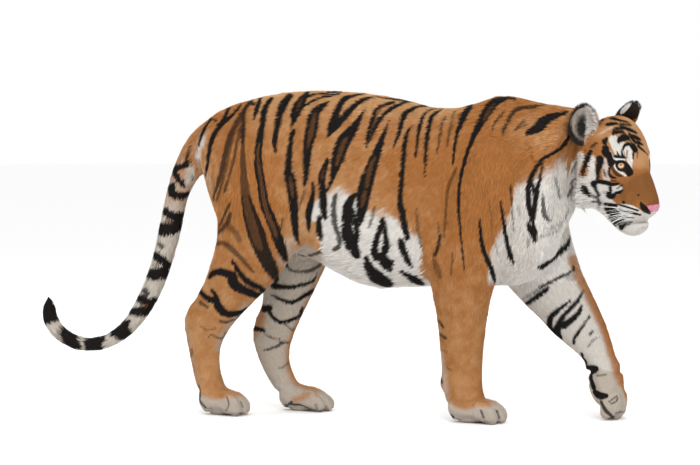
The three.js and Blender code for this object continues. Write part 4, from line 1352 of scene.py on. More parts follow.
class TIGER_OT_skin(bpy.types.Operator):
    """One skin over all of the flesh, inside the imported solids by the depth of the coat"""

    bl_idname = "tiger.skin"
    bl_label = "Skin"

    def execute(self, context):
        sizes = context.scene.tiger
        body = [flesh_copy(name) for name in FLESH if name not in ("head", "lower_jaw")]
        skin = remeshed(joined("skin", body + head_flesh()), sizes.skin_square, 6)
        keep_largest(skin)
        self.take_fine_form(skin)
        points = places(skin)
        points += outward(skin) * (bumps(points / MM, body_forms()) * MM)[:, None]
        set_places(skin, points)
        points = shape_face(places(skin), outward(skin))
        set_places(skin, points)
        hair, _ = lie_of_coat(points)
        depth = np.clip(hair * sizes.coat_depth, 0.6, 7) * MM
        points -= outward(skin) * depth[:, None]
        points = open_lids(points)
        set_places(skin, points)
        paint(skin, points)
        dressed(skin, coat_material("skin_fur", hairs=False))
        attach(skin, BODY)
        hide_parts(*FLESH)
        return {"FINISHED"}

    def take_fine_form(self, skin):
        """Splits the skin's squares on the head and the paws and draws them to a finer form."""
        fine = [flesh_copy(name) for name in FLESH if name.startswith("paw") or name == "neck"]
        fine = remeshed(joined("fine", fine + head_flesh()), FINE_SQUARE, 3)
        fine_surface = surface_of(fine)
        apply(skin, "LAPLACIANSMOOTH", lambda_factor=6, iterations=1, use_volume_preserve=True)
        for level in (1, 2):
            centres = read(skin.data.polygons, "center", 3).astype(float)
            refine(skin, fine_areas(centres, level))
        points = places(skin)
        local = in_head(points)
        near = np.linalg.norm(local - HEAD_MIDDLE, axis=1) < HEAD_REACH + 10
        head_share = ease(local[:, 0], -125, -85) * near
        paw_share = ease(-points[:, 2], -0.09, -0.075)
        paw_share = np.maximum(paw_share, lifted_paw(points) * ease(-points[:, 2], -0.17, -0.15))
        set_places(skin, snapped(points, fine_surface, np.maximum(head_share, paw_share)))
        bpy.data.objects.remove(fine)


# ---------------------------------------------------------------- materials
class Value:
    """A number in a material. Arithmetic on it adds the nodes."""

    def __init__(self, finish, socket):
        self.finish = finish
        self.socket = socket

    def math(self, operation, *others):
        return self.finish.node("ShaderNodeMath", {"operation": operation}, dict(enumerate((self,) + others)))

    def __add__(self, other):
        return self.math("ADD", other)

    __radd__ = __add__

    def __mul__(self, other):
        return self.math("MULTIPLY", other)

    def __sub__(self, other):
        return self.math("SUBTRACT", other)

    def __rsub__(self, other):
        return self * -1 + other

    def ease(self, low, high):
        """0 below low, 1 above high, smooth between."""
        settings = {"interpolation_type": "SMOOTHSTEP"}
        sockets = {"Value": self, "From Min": low, "From Max": high}
        return self.finish.node("ShaderNodeMapRange", settings, sockets)


class Finish:
    """A material in the making: its shader and short ways to the nodes it needs."""

    def __init__(self, name, shader):
        self.material = bpy.data.materials.new(name)
        self.material.use_nodes = True
        self.tree = self.material.node_tree
        self.shader = self.tree.nodes["Principled BSDF"]
        for socket, value in shader.items():
            self.put(self.shader.inputs[socket], value)

    def put(self, socket, value):
        if isinstance(value, Value):
            self.tree.links.new(value.socket, socket)
        elif hasattr(socket.default_value, "__len__") and len(value) == 3 and len(socket.default_value) == 4:
            socket.default_value = (*value, 1)
        else:
            socket.default_value = value

    def node(self, kind, settings=None, sockets=None, out=0):
        made = self.tree.nodes.new(kind)
        for name, value in (settings or {}).items():
            setattr(made, name, value)
        for name, value in (sockets or {}).items():
            self.put(made.inputs[name], value)
        return Value(self, made.outputs[out])

    def attribute(self, name, out="Fac"):
        return self.node("ShaderNodeAttribute", {"attribute_name": name}, out=out)

    def place(self):
        return self.node("ShaderNodeTexCoord", out="Object")

    def noise(self, at, scale, detail=2.0, roughness=0.5):
        sockets = {"Vector": at, "Scale": scale, "Detail": detail, "Roughness": roughness}
        return self.node("ShaderNodeTexNoise", sockets=sockets, out="Fac")

    def stretched(self, at, scale):
        return self.node("ShaderNodeMapping", sockets={"Vector": at, "Scale": scale})

    def mix(self, share, first, second, blend="MIX"):
        made = self.tree.nodes.new("ShaderNodeMix")
        made.data_type = "RGBA"
        made.blend_type = blend
        self.put(made.inputs["Factor"], share)
        self.put(made.inputs[6], first)
        self.put(made.inputs[7], second)
        return Value(self, made.outputs[2])

    def bumped(self, height, strength, distance):
        sockets = {"Height": height, "Strength": strength, "Distance": distance}
        self.put(self.shader.inputs["Normal"], self.node("ShaderNodeBump", sockets=sockets))

    def coloured(self, colour):
        self.put(self.shader.inputs["Base Color"], colour)
        return self.material


def coat_material(name, hairs):
    """The fur's colours, read from the fields on the skin or on the hairs, darkened by painted shade: the
    bare skin under the tufts, and each tuft towards its root.
    """
    colours = bpy.context.scene.tiger
    finish = Finish(name, {"Roughness": 0.7, "Specular IOR Level": 0.12})
    at = finish.place()
    fine = finish.noise(at, 260, 3, 0.6)
    broad = finish.noise(at, 26, 3, 0.55)
    tone = finish.attribute("tone") + (broad - 0.5) * 0.6
    light = finish.mix(tone.ease(0.0, 0.5), colours.buff, colours.orange)
    ground = finish.mix(tone.ease(0.5, 1.0), light, colours.russet)
    ragged = (fine - 0.5) * (1.6 if hairs else 3.0)
    pale = (finish.attribute("pale") + (fine - 0.5) * 0.25).ease(0.08, 0.92)
    # Pale hair goes grey where that field says: partly the hair's own grey, partly painted shade.
    white = finish.mix(finish.attribute("grey"), colours.white, colours.grey)
    ground = finish.mix(pale, ground, white)
    dark = (finish.attribute("dark") + ragged).ease(-1.8, 1.6) * finish.attribute("ink")
    brown = (finish.attribute("brown") + ragged).ease(-1.6, 1.6) * finish.attribute("brown_ink")
    ground = finish.mix(dark, ground, colours.black)
    ground = finish.mix(brown, ground, colours.brown)
    # Painted shade: the hairs' level is their random tone times painted shade that darkens them towards the
    # root. The bare skin is painted darker all over, with fine noise, as the shade between the tufts.
    level = finish.attribute("shade") if hairs else 0.74 + fine * 0.26
    shade_and_tone_colour = finish.node("ShaderNodeCombineColor", sockets={"Red": level, "Green": level, "Blue": level})
    ground = finish.mix(1.0, ground, shade_and_tone_colour, "MULTIPLY")
    if not hairs:
        strands = finish.noise(finish.stretched(at, (0.25, 1, 1)), 420, 2, 0.6)
        finish.bumped(strands, 0.55, 0.0012)
    return finish.coloured(ground)


# ---------------------------------------------------------------- the coat
FIELDS = ("dark", "ink", "brown", "brown_ink", "pale", "tone", "grey")
# How grey the pale hair of some parts is: partly the feet's and tail's own grey buff, partly painted shade on
# the legs, strongest on the hind legs.
GREY_PARTS = [
    (0.9, ("thigh", "hindleg")), (0.25, ("upper_arm", "foreleg")), (0.85, ("paw",)), (0.65, ("tail",)),
]


def guide_tones(points):
    """The depth of the ground colour, 0 buff to 1 russet."""
    at, tones = TONES
    return blended(points, at, 0.0006, 2, tones)[0]


def all_fields(pattern, points, region, facing, least=0.0):
    fields = pattern.at(points, region, facing, least)
    fields["tone"] = guide_tones(points)
    # Greyer below 9 cm, over the feet: their own grey buff with painted shade near the floor.
    grey = ease(-points[:, 2], -0.09, -0.04) * 0.8
    for share, starts in GREY_PARTS:
        grey = np.maximum(grey, belongs(region, *starts) * share)
    fields["grey"] = grey
    return fields


def facing_camera(points, normals):
    to_camera = unit(np.array(VIEW.place) - points)
    return (normals * to_camera).sum(1)


def paint(piece, points):
    """Lays the fields of colour on the skin's own points."""
    pattern = Pattern(surface_of(piece))
    facing = facing_camera(points, outward(piece))
    fields = all_fields(pattern, points, region_of(points), facing, 1.6 * MM)
    # The skin in and round the slit between the lids is painted black: the lids' own black edge, and painted
    # shade in the hollow between the lids and the eyeball.
    lid_edge_and_hollow = near_eyes(points, 1.35)
    fields["dark"][lid_edge_and_hollow], fields["ink"][lid_edge_and_hollow] = 6, 1
    for name in FIELDS:
        store(piece, name, fields[name])


# A tuft's corners are its root, three round its middle and its tip.
TUFT_CORNERS = 5
TUFT_FACES = np.array([(0, 1, 2), (0, 2, 3), (0, 3, 1), (4, 2, 1), (4, 3, 2), (4, 1, 3)])
# How far a tuft's flanks are shaded aside: 0 is flat, 1 is round.
TUFT_ROUNDNESS = 0.4
# The width of a tuft's patch on the unwrapped skin.
PATCH = 0.003
# The gap between tufts and their thickness, as shares of the hair's length.
GAP_SHARE = 0.165
THICK_SHARE = 0.085
THINNEST, THICKEST = 0.9 * MM, 2.6 * MM
LENGTH_BY_EYES = 3.5 * MM


def unwrapped(piece, faces):
    """An unwrap of some of the skin's faces in their own shape: one row of corners for each face."""
    used, again = np.unique(triangles(piece)[faces], return_inverse=True)
    patch = new_piece("patch", places(piece)[used], again.reshape(-1, 3).tolist())
    edited(patch, bpy.ops.uv.smart_project, angle_limit=math.radians(66), island_margin=0.004)
    layout = read(patch.data.uv_layers.active.data, "uv", 2).reshape(-1, 3, 2).astype(float)
    bpy.data.objects.remove(patch)
    return layout


def tuft_mesh(name, rows, thick, across, up, layout, fields):
    """One closed mesh of tufts: each a bent spindle of a root, three sides in the middle and a tip.

    The tufts are shaded along the skin they lie on, so that the coat is soft.
    """
    root, middle, tip = rows
    count = len(root)
    half = across * thick[:, None] / 2
    rise = up * thick[:, None] * 0.3
    right, left = (middle + sign * half - rise * 0.3 for sign in (-1, 1))
    corner = np.stack([root, right, middle + rise, left, tip], axis=1)
    faces = (np.arange(count)[:, None, None] * TUFT_CORNERS + TUFT_FACES).reshape(-1, 3)
    mesh = bpy.data.meshes.new(name)
    mesh.vertices.add(count * TUFT_CORNERS)
    mesh.vertices.foreach_set("co", corner.astype(np.float32).ravel())
    mesh.loops.add(len(faces) * 3)
    mesh.loops.foreach_set("vertex_index", faces.astype(np.int32).ravel())
    mesh.polygons.add(len(faces))
    mesh.polygons.foreach_set("loop_start", np.arange(0, len(faces) * 3, 3, dtype=np.int32))
    mesh.polygons.foreach_set("use_smooth", np.ones(len(faces), bool))
    mesh.update(calc_edges=True)
    flank = across * TUFT_ROUNDNESS
    shading = unit(np.stack([up, up - flank, up, up + flank, up], axis=1))[:, TUFT_FACES]
    shading[:, [2, 5]] *= -1
    mesh.normals_split_custom_set(shading.reshape(-1, 3))
    piece = linked(name, mesh)
    half = PATCH / 2
    spots = np.array([(-half, 0), (0, -half), (0, 0), (0, half), (half, 0)])
    corners = (layout[:, None] + spots).reshape(-1, 2)[faces.ravel()]
    mesh.uv_layers.new(name="OFBake").data.foreach_set("uv", corners.astype(np.float32).ravel())
    for field, values in fields.items():
        store(piece, field, values)
    return piece


def wave(points, scale, phase):
    """A soft pattern over space between -1 and 1."""
    x, y, z = (points * scale).T
    return (
        np.sin(x * 1.7 + phase + 1.3 * np.sin(y * 1.1)) * np.sin(z * 1.9 + 2.1 * phase)
        + np.sin(y * 2.3 + 0.7 * phase + np.sin(x * 0.9)) * np.sin(x * 1.3 - z * 1.7)
    ) / 2


def own_faces(name, points, corners, region):
    """The faces of the skin that one piece of the coat grows on."""
    faces = np.flatnonzero(belongs(region[corners[:, 0]], *COAT_PIECES[name]))
    centre = points[corners[faces]].mean(1)
    kept = ~bare_places(centre)
    if not COAT_PIECES[name][0].startswith(("tail", *PAIRED)):
        aside = in_head(centre)[:, 1] if "head" in name else centre[:, 1]
        kept &= aside * side_of(name) >= 0
    return faces[kept]


def gap_between_tufts(name, points):
    """How far apart the tufts stand at points, in metres: closer on the head, and where hair is short."""
    closest = 2.15 if "head" in name else 3.05
    widest = 3.5 if "neck" in name else 4.6
    hair, _ = lie_of_coat(points)
    gap = np.clip(hair * GAP_SHARE, closest, widest) * MM * bpy.context.scene.tiger.spacing
    return gap


def scattered(ends, gap, random):
    """Places spread over triangles: which triangle each lies on, and its weights of the corners."""
    whole = np.floor(np.cumsum(areas(ends) / gap**2) + random.random()).astype(int)
    number = np.diff(np.concatenate([[0], whole]))
    chosen = np.repeat(np.arange(len(ends)), number)
    a, b = random.random(len(chosen)), random.random(len(chosen))
    flip = a + b > 1
    a[flip], b[flip] = 1 - a[flip], 1 - b[flip]
    return chosen, np.stack([1 - a - b, a, b], axis=1)


def laid_tufts(root, normal, surface, random):
    """Tufts from their roots along the lie of the coat: middles, tips, ways across and lengths."""
    length, way = lie_of_coat(root)
    stand = stand_of_coat(root)
    length *= MM * (0.75 + 0.5 * random.random(len(root)))
    length = np.where(near_eyes(root, 4.5), np.minimum(length, LENGTH_BY_EYES), length)
    drift = wave(root, 42, 0.4) * 0.16 + wave(root, 130, 2.0) * 0.14 + random.normal(0, 0.1, len(root))
    way -= normal * (way * normal).sum(1)[:, None]
    way = unit(way)
    across = np.cross(normal, way)
    way = unit(way + across * drift[:, None])
    across = np.cross(normal, way)
    middle = root + way * (length * 0.42)[:, None]
    tip = root + way * length[:, None]
    lift = length * (0.09 + stand + 0.05 * random.random(len(root)))
    middle = laid(middle, surface, lift * 0.75, stand)
    tip = laid(tip, surface, lift * (0.55 + 0.9 * random.random(len(root))), stand)
    return middle, tip, across, length


def tuft_fields(pattern, root, spots, region, facing, length, random):
    """The fields of colour at every corner of the tufts, read near their middles and at their tips, and a
    shade of random tone times painted shade, dark at the root and light at the tip.
    """
    count = len(length)
    ragged = random.normal(0, 1, count) * np.clip(length / MM * 0.05, 0.3, 1.2)
    parts = []
    for spot in spots:
        fields = all_fields(pattern, spot, region, facing)
        fields["dark"] += ragged
        fields["brown"] += ragged
        fields["pale"] += ragged * 0.3 * fields["pale"] * (1 - fields["pale"])
        parts.append(fields)
    lower, upper = parts
    fields = {field: np.stack([lower[field]] * 4 + [upper[field]], axis=1).ravel() for field in FIELDS}
    shade = 1 + 0.09 * random.normal(0, 1, count) + 0.05 * wave(root, 90, 1.0)
    # Painted shade along each tuft: darkest at its root, less so in pale hair, lightest at its tip.
    shade_along_tuft = [0.6 + 0.2 * lower["pale"]] + [0.95] * 3 + [1.08]
    fields["shade"] = np.stack([shade * level for level in shade_along_tuft], axis=1).ravel()
    return fields


def grow(skin, surface, pattern, name, region, seed):
    """Grows one piece of the coat over its share of the skin."""
    random = np.random.default_rng(seed)
    points, corners = places(skin), triangles(skin)
    faces = own_faces(name, points, corners, region)
    ends = points[corners[faces]]
    chosen, weight = scattered(ends, gap_between_tufts(name, ends.mean(1)), random)
    root = shared(ends[chosen], weight)
    normal = unit(shared(outward(skin)[corners[faces[chosen]]], weight))
    layout = shared(unwrapped(skin, faces)[chosen], weight)
    middle, tip, across, length = laid_tufts(root, normal, surface, random)
    thick = np.clip(length * THICK_SHARE, THINNEST, THICKEST) * (0.8 + 0.4 * random.random(len(root)))
    own = region[corners[faces[chosen], 0]]
    spots = (middle * 0.45 + tip * 0.55, tip)
    fields = tuft_fields(pattern, root, spots, own, facing_camera(root, normal), length, random)
    sunk = root - normal * 1.5 * MM
    return tuft_mesh(name, (sunk, middle, tip), thick, across, normal, layout, fields)


def laid(points, surface, height, stand):
    """Points brought down to a height over the skin, and less so where the hair stands off."""
    laid_down = points.copy()
    for index, point in enumerate(points):
        near, normal, _, _ = surface.find_nearest(Vector(point))
        laid_down[index] = np.array(near) + np.array(normal) * height[index]
    hold = np.clip(1 - stand * 5, 0, 1)[:, None]
    return laid_down * hold + (points + (laid_down - points) * 0.35) * (1 - hold)


# Where hair stands off the body: place in millimetres, reach, how much. Both sides.
STANDING = [
    ((100, 0, 430), (330, 140, 60), 0.1),
    ((-60, -60, 440), (120, 80, 50), 0.1),
    ((600, 0, 560), (80, 90, 120), 0.06),
    ((690, -20, 660), (70, 70, 70), 0.08),
    ((-370, -80, 640), (60, 70, 120), 0.05),
    ((345, -110, 470), (30, 50, 60), 0.06),
]
FACE_STANDING = [
    ((-60, 112, -110), (50, 40, 60), 0.16),
    ((-50, 80, -160), (50, 50, 40), 0.25),
    ((0, 60, -185), (60, 60, 30), 0.1),
    ((95, 0, -200), (30, 30, 24), 0.12),
]


def stand_of_coat(points):
    stand = bumps(points / MM, on_both_sides(STANDING))
    return np.minimum(stand + bumps(in_head(points), on_both_sides(FACE_STANDING)), 0.3)


def bare_places(points):
    """The eyes' slits, the nose and the soles, where no hair grows."""
    local = in_head(points)
    nose = (local[:, 0] > 132) & (np.abs(local[:, 1]) < 24) & (local[:, 2] > -124)
    return nose | (points[:, 2] < 0.004) | near_eyes(points, 1.5)


def near_eyes(points, share):
    """Which points lie within a share of the almond between the lids."""
    near = np.zeros(len(points), bool)
    for side in (-1, 1):
        local = moved(eye_frame(side).inverted(), points)
        near |= (almond(local) < share) & (np.linalg.norm(local, axis=1) < 0.034) & (local[:, 0] > 0)
    return near


# ---------------------------------------------------------------- eyes, nose, ears and whiskers
# Where the right pupil's middle shows in the frame, the radii of iris and pupil and the height of the
# clear dome, in millimetres.
PUPIL_AT = (620.9, 164.8)
IRIS = 10.8
PUPIL = 3.6
DOME = 1.2


def gaze_of(side):
    """The way an eye looks: the right pupil lies on its line through the frame, the left mirrors it."""
    centre = HEAD @ eye_place(-1)
    way = VIEW.line(*PUPIL_AT)
    off = VIEW.place - centre
    nearest = -off.dot(way)
    height = (off + way * nearest).length
    meets = VIEW.place + way * (nearest - math.sqrt(max(EYE_RADIUS**2 - height**2, 0)))
    turn = HEAD.to_3x3()
    look = turn.inverted() @ (meets - centre).normalized()
    return (turn @ Vector((look.x, -look.y * side, look.z))).normalized()


def eye_material():
    finish = Finish("eye", {"Specular IOR Level": 0.4, "Coat Roughness": 0.02})
    out = finish.attribute("off_gaze")
    white = out.ease(IRIS * 0.85, IRIS)
    finish.put(finish.shader.inputs["Coat Weight"], 1 - white)
    finish.put(finish.shader.inputs["Roughness"], 0.12 + white * 0.6)
    rays = finish.noise(finish.attribute("ray", "Vector"), 9, 3, 0.6)
    amber = finish.mix(out.ease(PUPIL, IRIS * 0.95), (0.74, 0.47, 0.27), (0.5, 0.27, 0.12))
    amber = finish.mix(rays.ease(0.35, 0.75) * 0.45, amber, (0.30, 0.14, 0.04))
    ringed = finish.mix(out.ease(IRIS * 0.86, IRIS), amber, (0.02, 0.012, 0.008))
    whole = finish.mix(out.ease(PUPIL - 0.25, PUPIL + 0.25), (0.004, 0.004, 0.004), ringed)
    return finish.coloured(whole)


class TIGER_OT_eyes(bpy.types.Operator):
    """The two eyes, with a clear dome over each iris, and the black rims of the lids"""

    bl_idname = "tiger.eyes"
    bl_label = "Eyes"

    def execute(self, context):
        eye_finish = eye_material()
        rim_finish = Finish("lid_rim", {"Roughness": 0.32, "Specular IOR Level": 0.5})
        wrinkle = rim_finish.noise(rim_finish.place(), 700, 2)
        rim_finish.bumped(wrinkle, 0.4, 0.0004)
        rim_finish = rim_finish.coloured(rim_finish.mix(wrinkle, (0.006, 0.005, 0.005), (0.02, 0.015, 0.013)))
        for side, name in ((-1, "right"), (1, "left")):
            self.eyeball(name, side, eye_finish)
            self.rim(name, side, rim_finish)
        return {"FINISHED"}

    def eyeball(self, name, side, finish):
        steps = np.linspace(0, math.pi, 40)
        radius = EYE_RADIUS / MM
        dome = DOME * np.exp(-((steps / 0.5) ** 2))
        turned = full_turn(48)
        x, reach = (radius + dome) * np.cos(steps), (radius + dome) * np.sin(steps)
        circle = np.stack([np.ones(len(turned)), np.cos(turned), np.sin(turned)], axis=1)
        rings = np.stack([x, reach, reach], axis=1)[1:-1, None] * circle
        eye = ringed(f"eye_ball_{name}", rings, [(x[0], 0, 0), (x[-1], 0, 0)])
        points = places(eye)
        store(eye, "off_gaze", np.where(points[:, 0] > 0, np.hypot(points[:, 1], points[:, 2]), 30))
        angle = np.arctan2(points[:, 2], points[:, 1])
        ray = eye.data.attributes.new("ray", "FLOAT_VECTOR", "POINT")
        rays = np.stack([np.cos(angle), np.sin(angle), 0.02 * points[:, 0]], axis=1)
        ray.data.foreach_set("vector", rays.astype(np.float32).ravel())
        centre = HEAD @ eye_place(side)
        set_places(eye, moved(Matrix.Translation(centre) @ turned_to(gaze_of(side)), points * MM))
        dressed(eye, finish)
        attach(eye, BODY)
        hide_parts(f"eye_{name}")

    def rim(self, name, side, finish):
        """A tube along the almond between the lids, thicker at the inner corner."""
        turn = full_turn(64)
        y = LID["length"] * squared(np.cos(turn), LID["power"])
        z = LID["height"] * squared(np.sin(turn), LID["power"])
        reach = EYE_RADIUS + 1.2 * MM
        path = np.stack([np.sqrt(np.maximum(reach**2 - y**2 - z**2, 1e-6)), y, z], axis=1)
        thick = 0.0012 + 0.0006 * np.abs(np.cos(turn)) ** 6
        rim = tube(f"lid_rim_{name}", moved(eye_frame(side), path), thick, 8, closed=True)
        dressed(rim, finish)
        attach(rim, BODY)


def tube(name, path, radii, around, closed=False):
    """A tube along points, closed on itself or with flat ends."""
    path = np.asarray(path, float)
    if closed:
        ways = unit(np.roll(path, -1, axis=0) - np.roll(path, 1, axis=0))
        aside = unit(np.cross(ways, path - path.mean(0) + 1e-6))
    else:
        ways = unit(np.gradient(path, axis=0))
        aside = unit(np.cross(ways, (0.31, 0.2, 0.93)))
    upward = np.cross(ways, aside)
    turn = full_turn(around)
    rings = path[:, None] + (
        aside[:, None] * np.cos(turn)[None, :, None] + upward[:, None] * np.sin(turn)[None, :, None]
    ) * np.asarray(radii)[:, None, None]
    count = len(path)
    faces = []
    for ring in range(count if closed else count - 1):
        for k in range(around):
            a, b = ring * around + k, ring * around + (k + 1) % around
            c, d = (ring + 1) % count * around + (k + 1) % around, (ring + 1) % count * around + k
            faces.append((a, b, c, d))
    if not closed:
        faces.append(tuple(range(around))[::-1])
        faces.append(tuple(range((count - 1) * around, count * around)))
    return facing_out(new_piece(name, rings.reshape(-1, 3), faces))


class TIGER_OT_nose(bpy.types.Operator):
    """The bare pink nose with its nostrils"""

    bl_idname = "tiger.nose"
    bl_label = "Nose"

    def execute(self, context):
        nose = remeshed(flesh_copy("nose_pad", 0), 0.0011, 4)
        nose.name = "nose"
        local = in_head(places(nose)) + (0, 0, 5)
        above = np.maximum(0, local[:, 2] + 82)
        local[:, 2] -= above * 0.7
        local[:, 0] -= 0.45 * np.maximum(0, -80 - local[:, 2])
        points = moved(HEAD, local * MM)
        set_places(nose, points)
        marks = Marks(surface_of(nose), NOSTRILS)
        other = moved(HEAD, in_head(points) * (MM, -MM, MM))
        inside = np.maximum(marks.at(points)[0], marks.at(other)[0])
        store(nose, "nostril", inside)
        points -= outward(nose) * (ease(inside, -1, 2.5) * 0.004)[:, None]
        local = in_head(points)
        groove = np.exp(-((local[:, 1] / 1.3) ** 2)) * ease(-local[:, 2], 96, 104)
        points -= outward(nose) * (groove * 0.0022)[:, None]
        set_places(nose, points)
        finish = Finish("nose_skin", {"Roughness": 0.38, "Specular IOR Level": 0.5})
        pebbles = finish.node("ShaderNodeTexVoronoi", sockets={"Vector": finish.place(), "Scale": 620})
        mottle = finish.noise(finish.place(), 160, 3, 0.6)
        pink = finish.mix(mottle.ease(0.35, 0.7), (0.56, 0.185, 0.285), (0.42, 0.12, 0.19))
        colour = finish.mix(finish.attribute("nostril").ease(-0.9, 0.6), pink, (0.012, 0.006, 0.006))
        finish.bumped(pebbles, 0.35, 0.0006)
        dressed(nose, finish.coloured(colour))
        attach(nose, BODY)
        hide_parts("nose_pad")
        return {"FINISHED"}


# The ears in the head's frame: centre, the way the cup opens, its turn about that way, its half width.
EARS = {
    "right": ((-128, -92, 72), (0.58, -0.8, 0.08), 12, 44),
    "left": ((-110, 78, 92), (0.1, 1, 0.1), 35, 33),
}
EAR_CUP = {"depth": 32, "height": 63, "flare": 0.3, "wall": 4}
# The hair of the ears in metres, and how many tufts each has, as made and when quick.
EAR_HAIR = {"inside": 0.010, "behind": 0.0075, "edge": 0.019}
EAR_TUFTS = (4200, 1500)


class TIGER_OT_ears(bpy.types.Operator):
    """The ears: black behind with a white spot, pale long hair inside with a painted shadow in the middle of
    the cup
    """

    bl_idname = "tiger.ears"
    bl_label = "Ears"

    def execute(self, context):
        skin_finish = coat_material("ear_skin", hairs=False)
        hair_finish = coat_material("ear_hair", hairs=True)
        for number, name in enumerate(EARS):
            turn = self.frame_of(name)
            front = 1 if name == "right" else -1
            ear = self.cup(name, turn)
            points = places(ear)
            fields = self.fields(turn, points, outward(ear), front)
            for field in FIELDS:
                store(ear, field, fields[field])
            dressed(ear, skin_finish)
            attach(ear, BODY)
            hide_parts(f"ear_{name}")
            tufts = self.tufts(ear, turn, front, f"coat_ear_{name}", SEED + 50 + number)
            tufts.data.materials.append(hair_finish)
            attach(tufts, BODY)
        return {"FINISHED"}

    def frame_of(self, name):
        place, opens, lean, _ = EARS[name]
        spin = Matrix.Rotation(math.radians(lean), 4, "X")
        return HEAD @ Matrix.Translation(Vector(place) * MM) @ turned_to(Vector(opens).normalized()) @ spin

    def cup(self, name, turn):
        """The whole cup: an outer and an inner half ball joined round the rim."""
        depth, height, wall = EAR_CUP["depth"], EAR_CUP["height"], EAR_CUP["wall"]
        steps = np.linspace(0, math.pi / 2, 26)[1:]
        rise = np.concatenate([-np.cos(steps), -np.cos(steps[::-1])])
        reach = np.concatenate([np.sin(steps), np.sin(steps[::-1])])
        inner = np.repeat([0, 1], len(steps))
        turned = full_turn(72)
        z = reach[:, None] * np.sin(turned)
        flare = 1 + EAR_CUP["flare"] * np.maximum(0, -z)
        y = reach[:, None] * np.cos(turned) * flare * (EARS[name][3] - wall * inner)[:, None]
        z = z * (height - wall * inner)[:, None]
        x = np.repeat((rise * (depth - wall * inner) + wall * inner)[:, None], len(turned), axis=1)
        rings = np.stack([x, y, z], axis=-1)
        ends = [(-depth, 0, 0), (2 * wall - depth, 0, 0)]
        ear = ringed(f"ear_shell_{name}", rings, ends)
        set_places(ear, moved(turn, places(ear) * MM))
        return ear

    def fields(self, turn, points, normals, front):
        local = moved(turn.inverted(), points) / MM
        faces = normals @ np.array(turn)[:3, :3]
        inner = ease(faces[:, 0], -0.1, 0.35)
        ahead, height = local[:, 1] * front, local[:, 2]
        back_spot = 1 - np.hypot((ahead + 13) / 11, (height - 30) / 23)
        spot = ease(back_spot, -0.15, 0.15) * (1 - inner)
        edge = ease(ahead - 0.2 * height, 15, 25)
        rim = ease(np.hypot(ahead / 45, height / 60), 0.84, 0.93) * (1 - edge)
        # Painted shadow in the hollow of the cup: a dark patch low in the middle of the inner side, which
        # blackens the pale inner hair there.
        shadow = 1.15 * np.exp(-(((ahead + 5) / 24) ** 2) - ((height + 14) / 40) ** 2)
        shadow += 0.2 * wave(points, 260, 0.7)
        painted_shadow_middle = ease(shadow, 0.15, 0.5)
        black = np.maximum((1 - inner) * (1 - spot) * (1 - edge), inner * np.maximum(rim, painted_shadow_middle * 0.9))
        count = len(points)
        fields = {name: np.zeros(count) for name in FIELDS}
        fields["dark"] = black * 8 - 3.2
        fields["ink"] = 0.97 - 0.8 * inner * (1 - rim) * (1 - ease(shadow, 0.15, 0.8))
        fields["brown"] = np.full(count, OUTSIDE)
        fields["pale"] = np.maximum(inner * (1 - 0.3 * edge), spot) * (1 - edge * 0.35)
        fields["tone"] = np.full(count, 0.6)
        fields["grey"] = inner * 0.8
        return fields

    def tufts(self, ear, turn, front, name, seed):
        """Short hair over the shell and long pale hair over the mouth of the cup."""
        random = np.random.default_rng(seed)
        edited(ear, bpy.ops.mesh.quads_convert_to_tris)
        points, normals = places(ear), outward(ear)
        corners = triangles(ear)
        ends = points[corners]
        area = areas(ends)
        count = EAR_TUFTS[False]
        chosen = random.choice(len(corners), count, p=area / area.sum())
        weight = random.dirichlet((1, 1, 1), count)
        root = shared(ends[chosen], weight)
        normal = unit(shared(normals[corners[chosen]], weight))
        layout = shared(unwrapped(ear, np.arange(len(corners)))[chosen], weight)
        axes = np.array(turn)[:3, :3]
        local = moved(turn.inverted(), root) / MM
        inner = (normal @ axes)[:, 0] > 0.2
        near_edge = inner & (local[:, 1] * front > 15)
        length = np.where(inner, EAR_HAIR["inside"], EAR_HAIR["behind"])
        length = np.where(near_edge, EAR_HAIR["edge"], length) * (0.75 + 0.5 * random.random(count))
        up, away = axes[:, 2], -axes[:, 1] * front
        way = np.where(near_edge[:, None], away * 0.9 + up * 0.45 + axes[:, 0] * 0.35, up + normal * 0.25)
        way = unit(way + random.normal(0, 0.14, (count, 3)))
        across = unit(np.cross(normal, way) + 1e-6)
        middle = root + way * (length * 0.45)[:, None] + normal * (length * 0.12)[:, None]
        tip = root + way * length[:, None] + normal * (length * 0.1)[:, None]
        thick = np.clip(length * 0.14, 0.0009, 0.0017)
        fields = self.fields(turn, root, normal, front)
        fields["dark"][near_edge] = -3.2
        fields["pale"][near_edge] = 1.0
        fields["grey"][near_edge] = 0.25
        shade = 1 + 0.12 * random.normal(0, 1, count)
        fields = {field: np.repeat(values, TUFT_CORNERS) for field, values in fields.items()}
        # Painted shade along each tuft: dark at its root, light at its tip.
        fields["shade"] = np.stack([shade * 0.7] + [shade] * 3 + [shade * 1.1], axis=1).ravel()
        sunk = root - normal * MM
        return tuft_mesh(name, (sunk, middle, tip), thick, across, normal, layout, fields)


WHISKER_ROWS, WHISKERS_IN_ROW, BROW_WHISKERS = 4, 6, 3


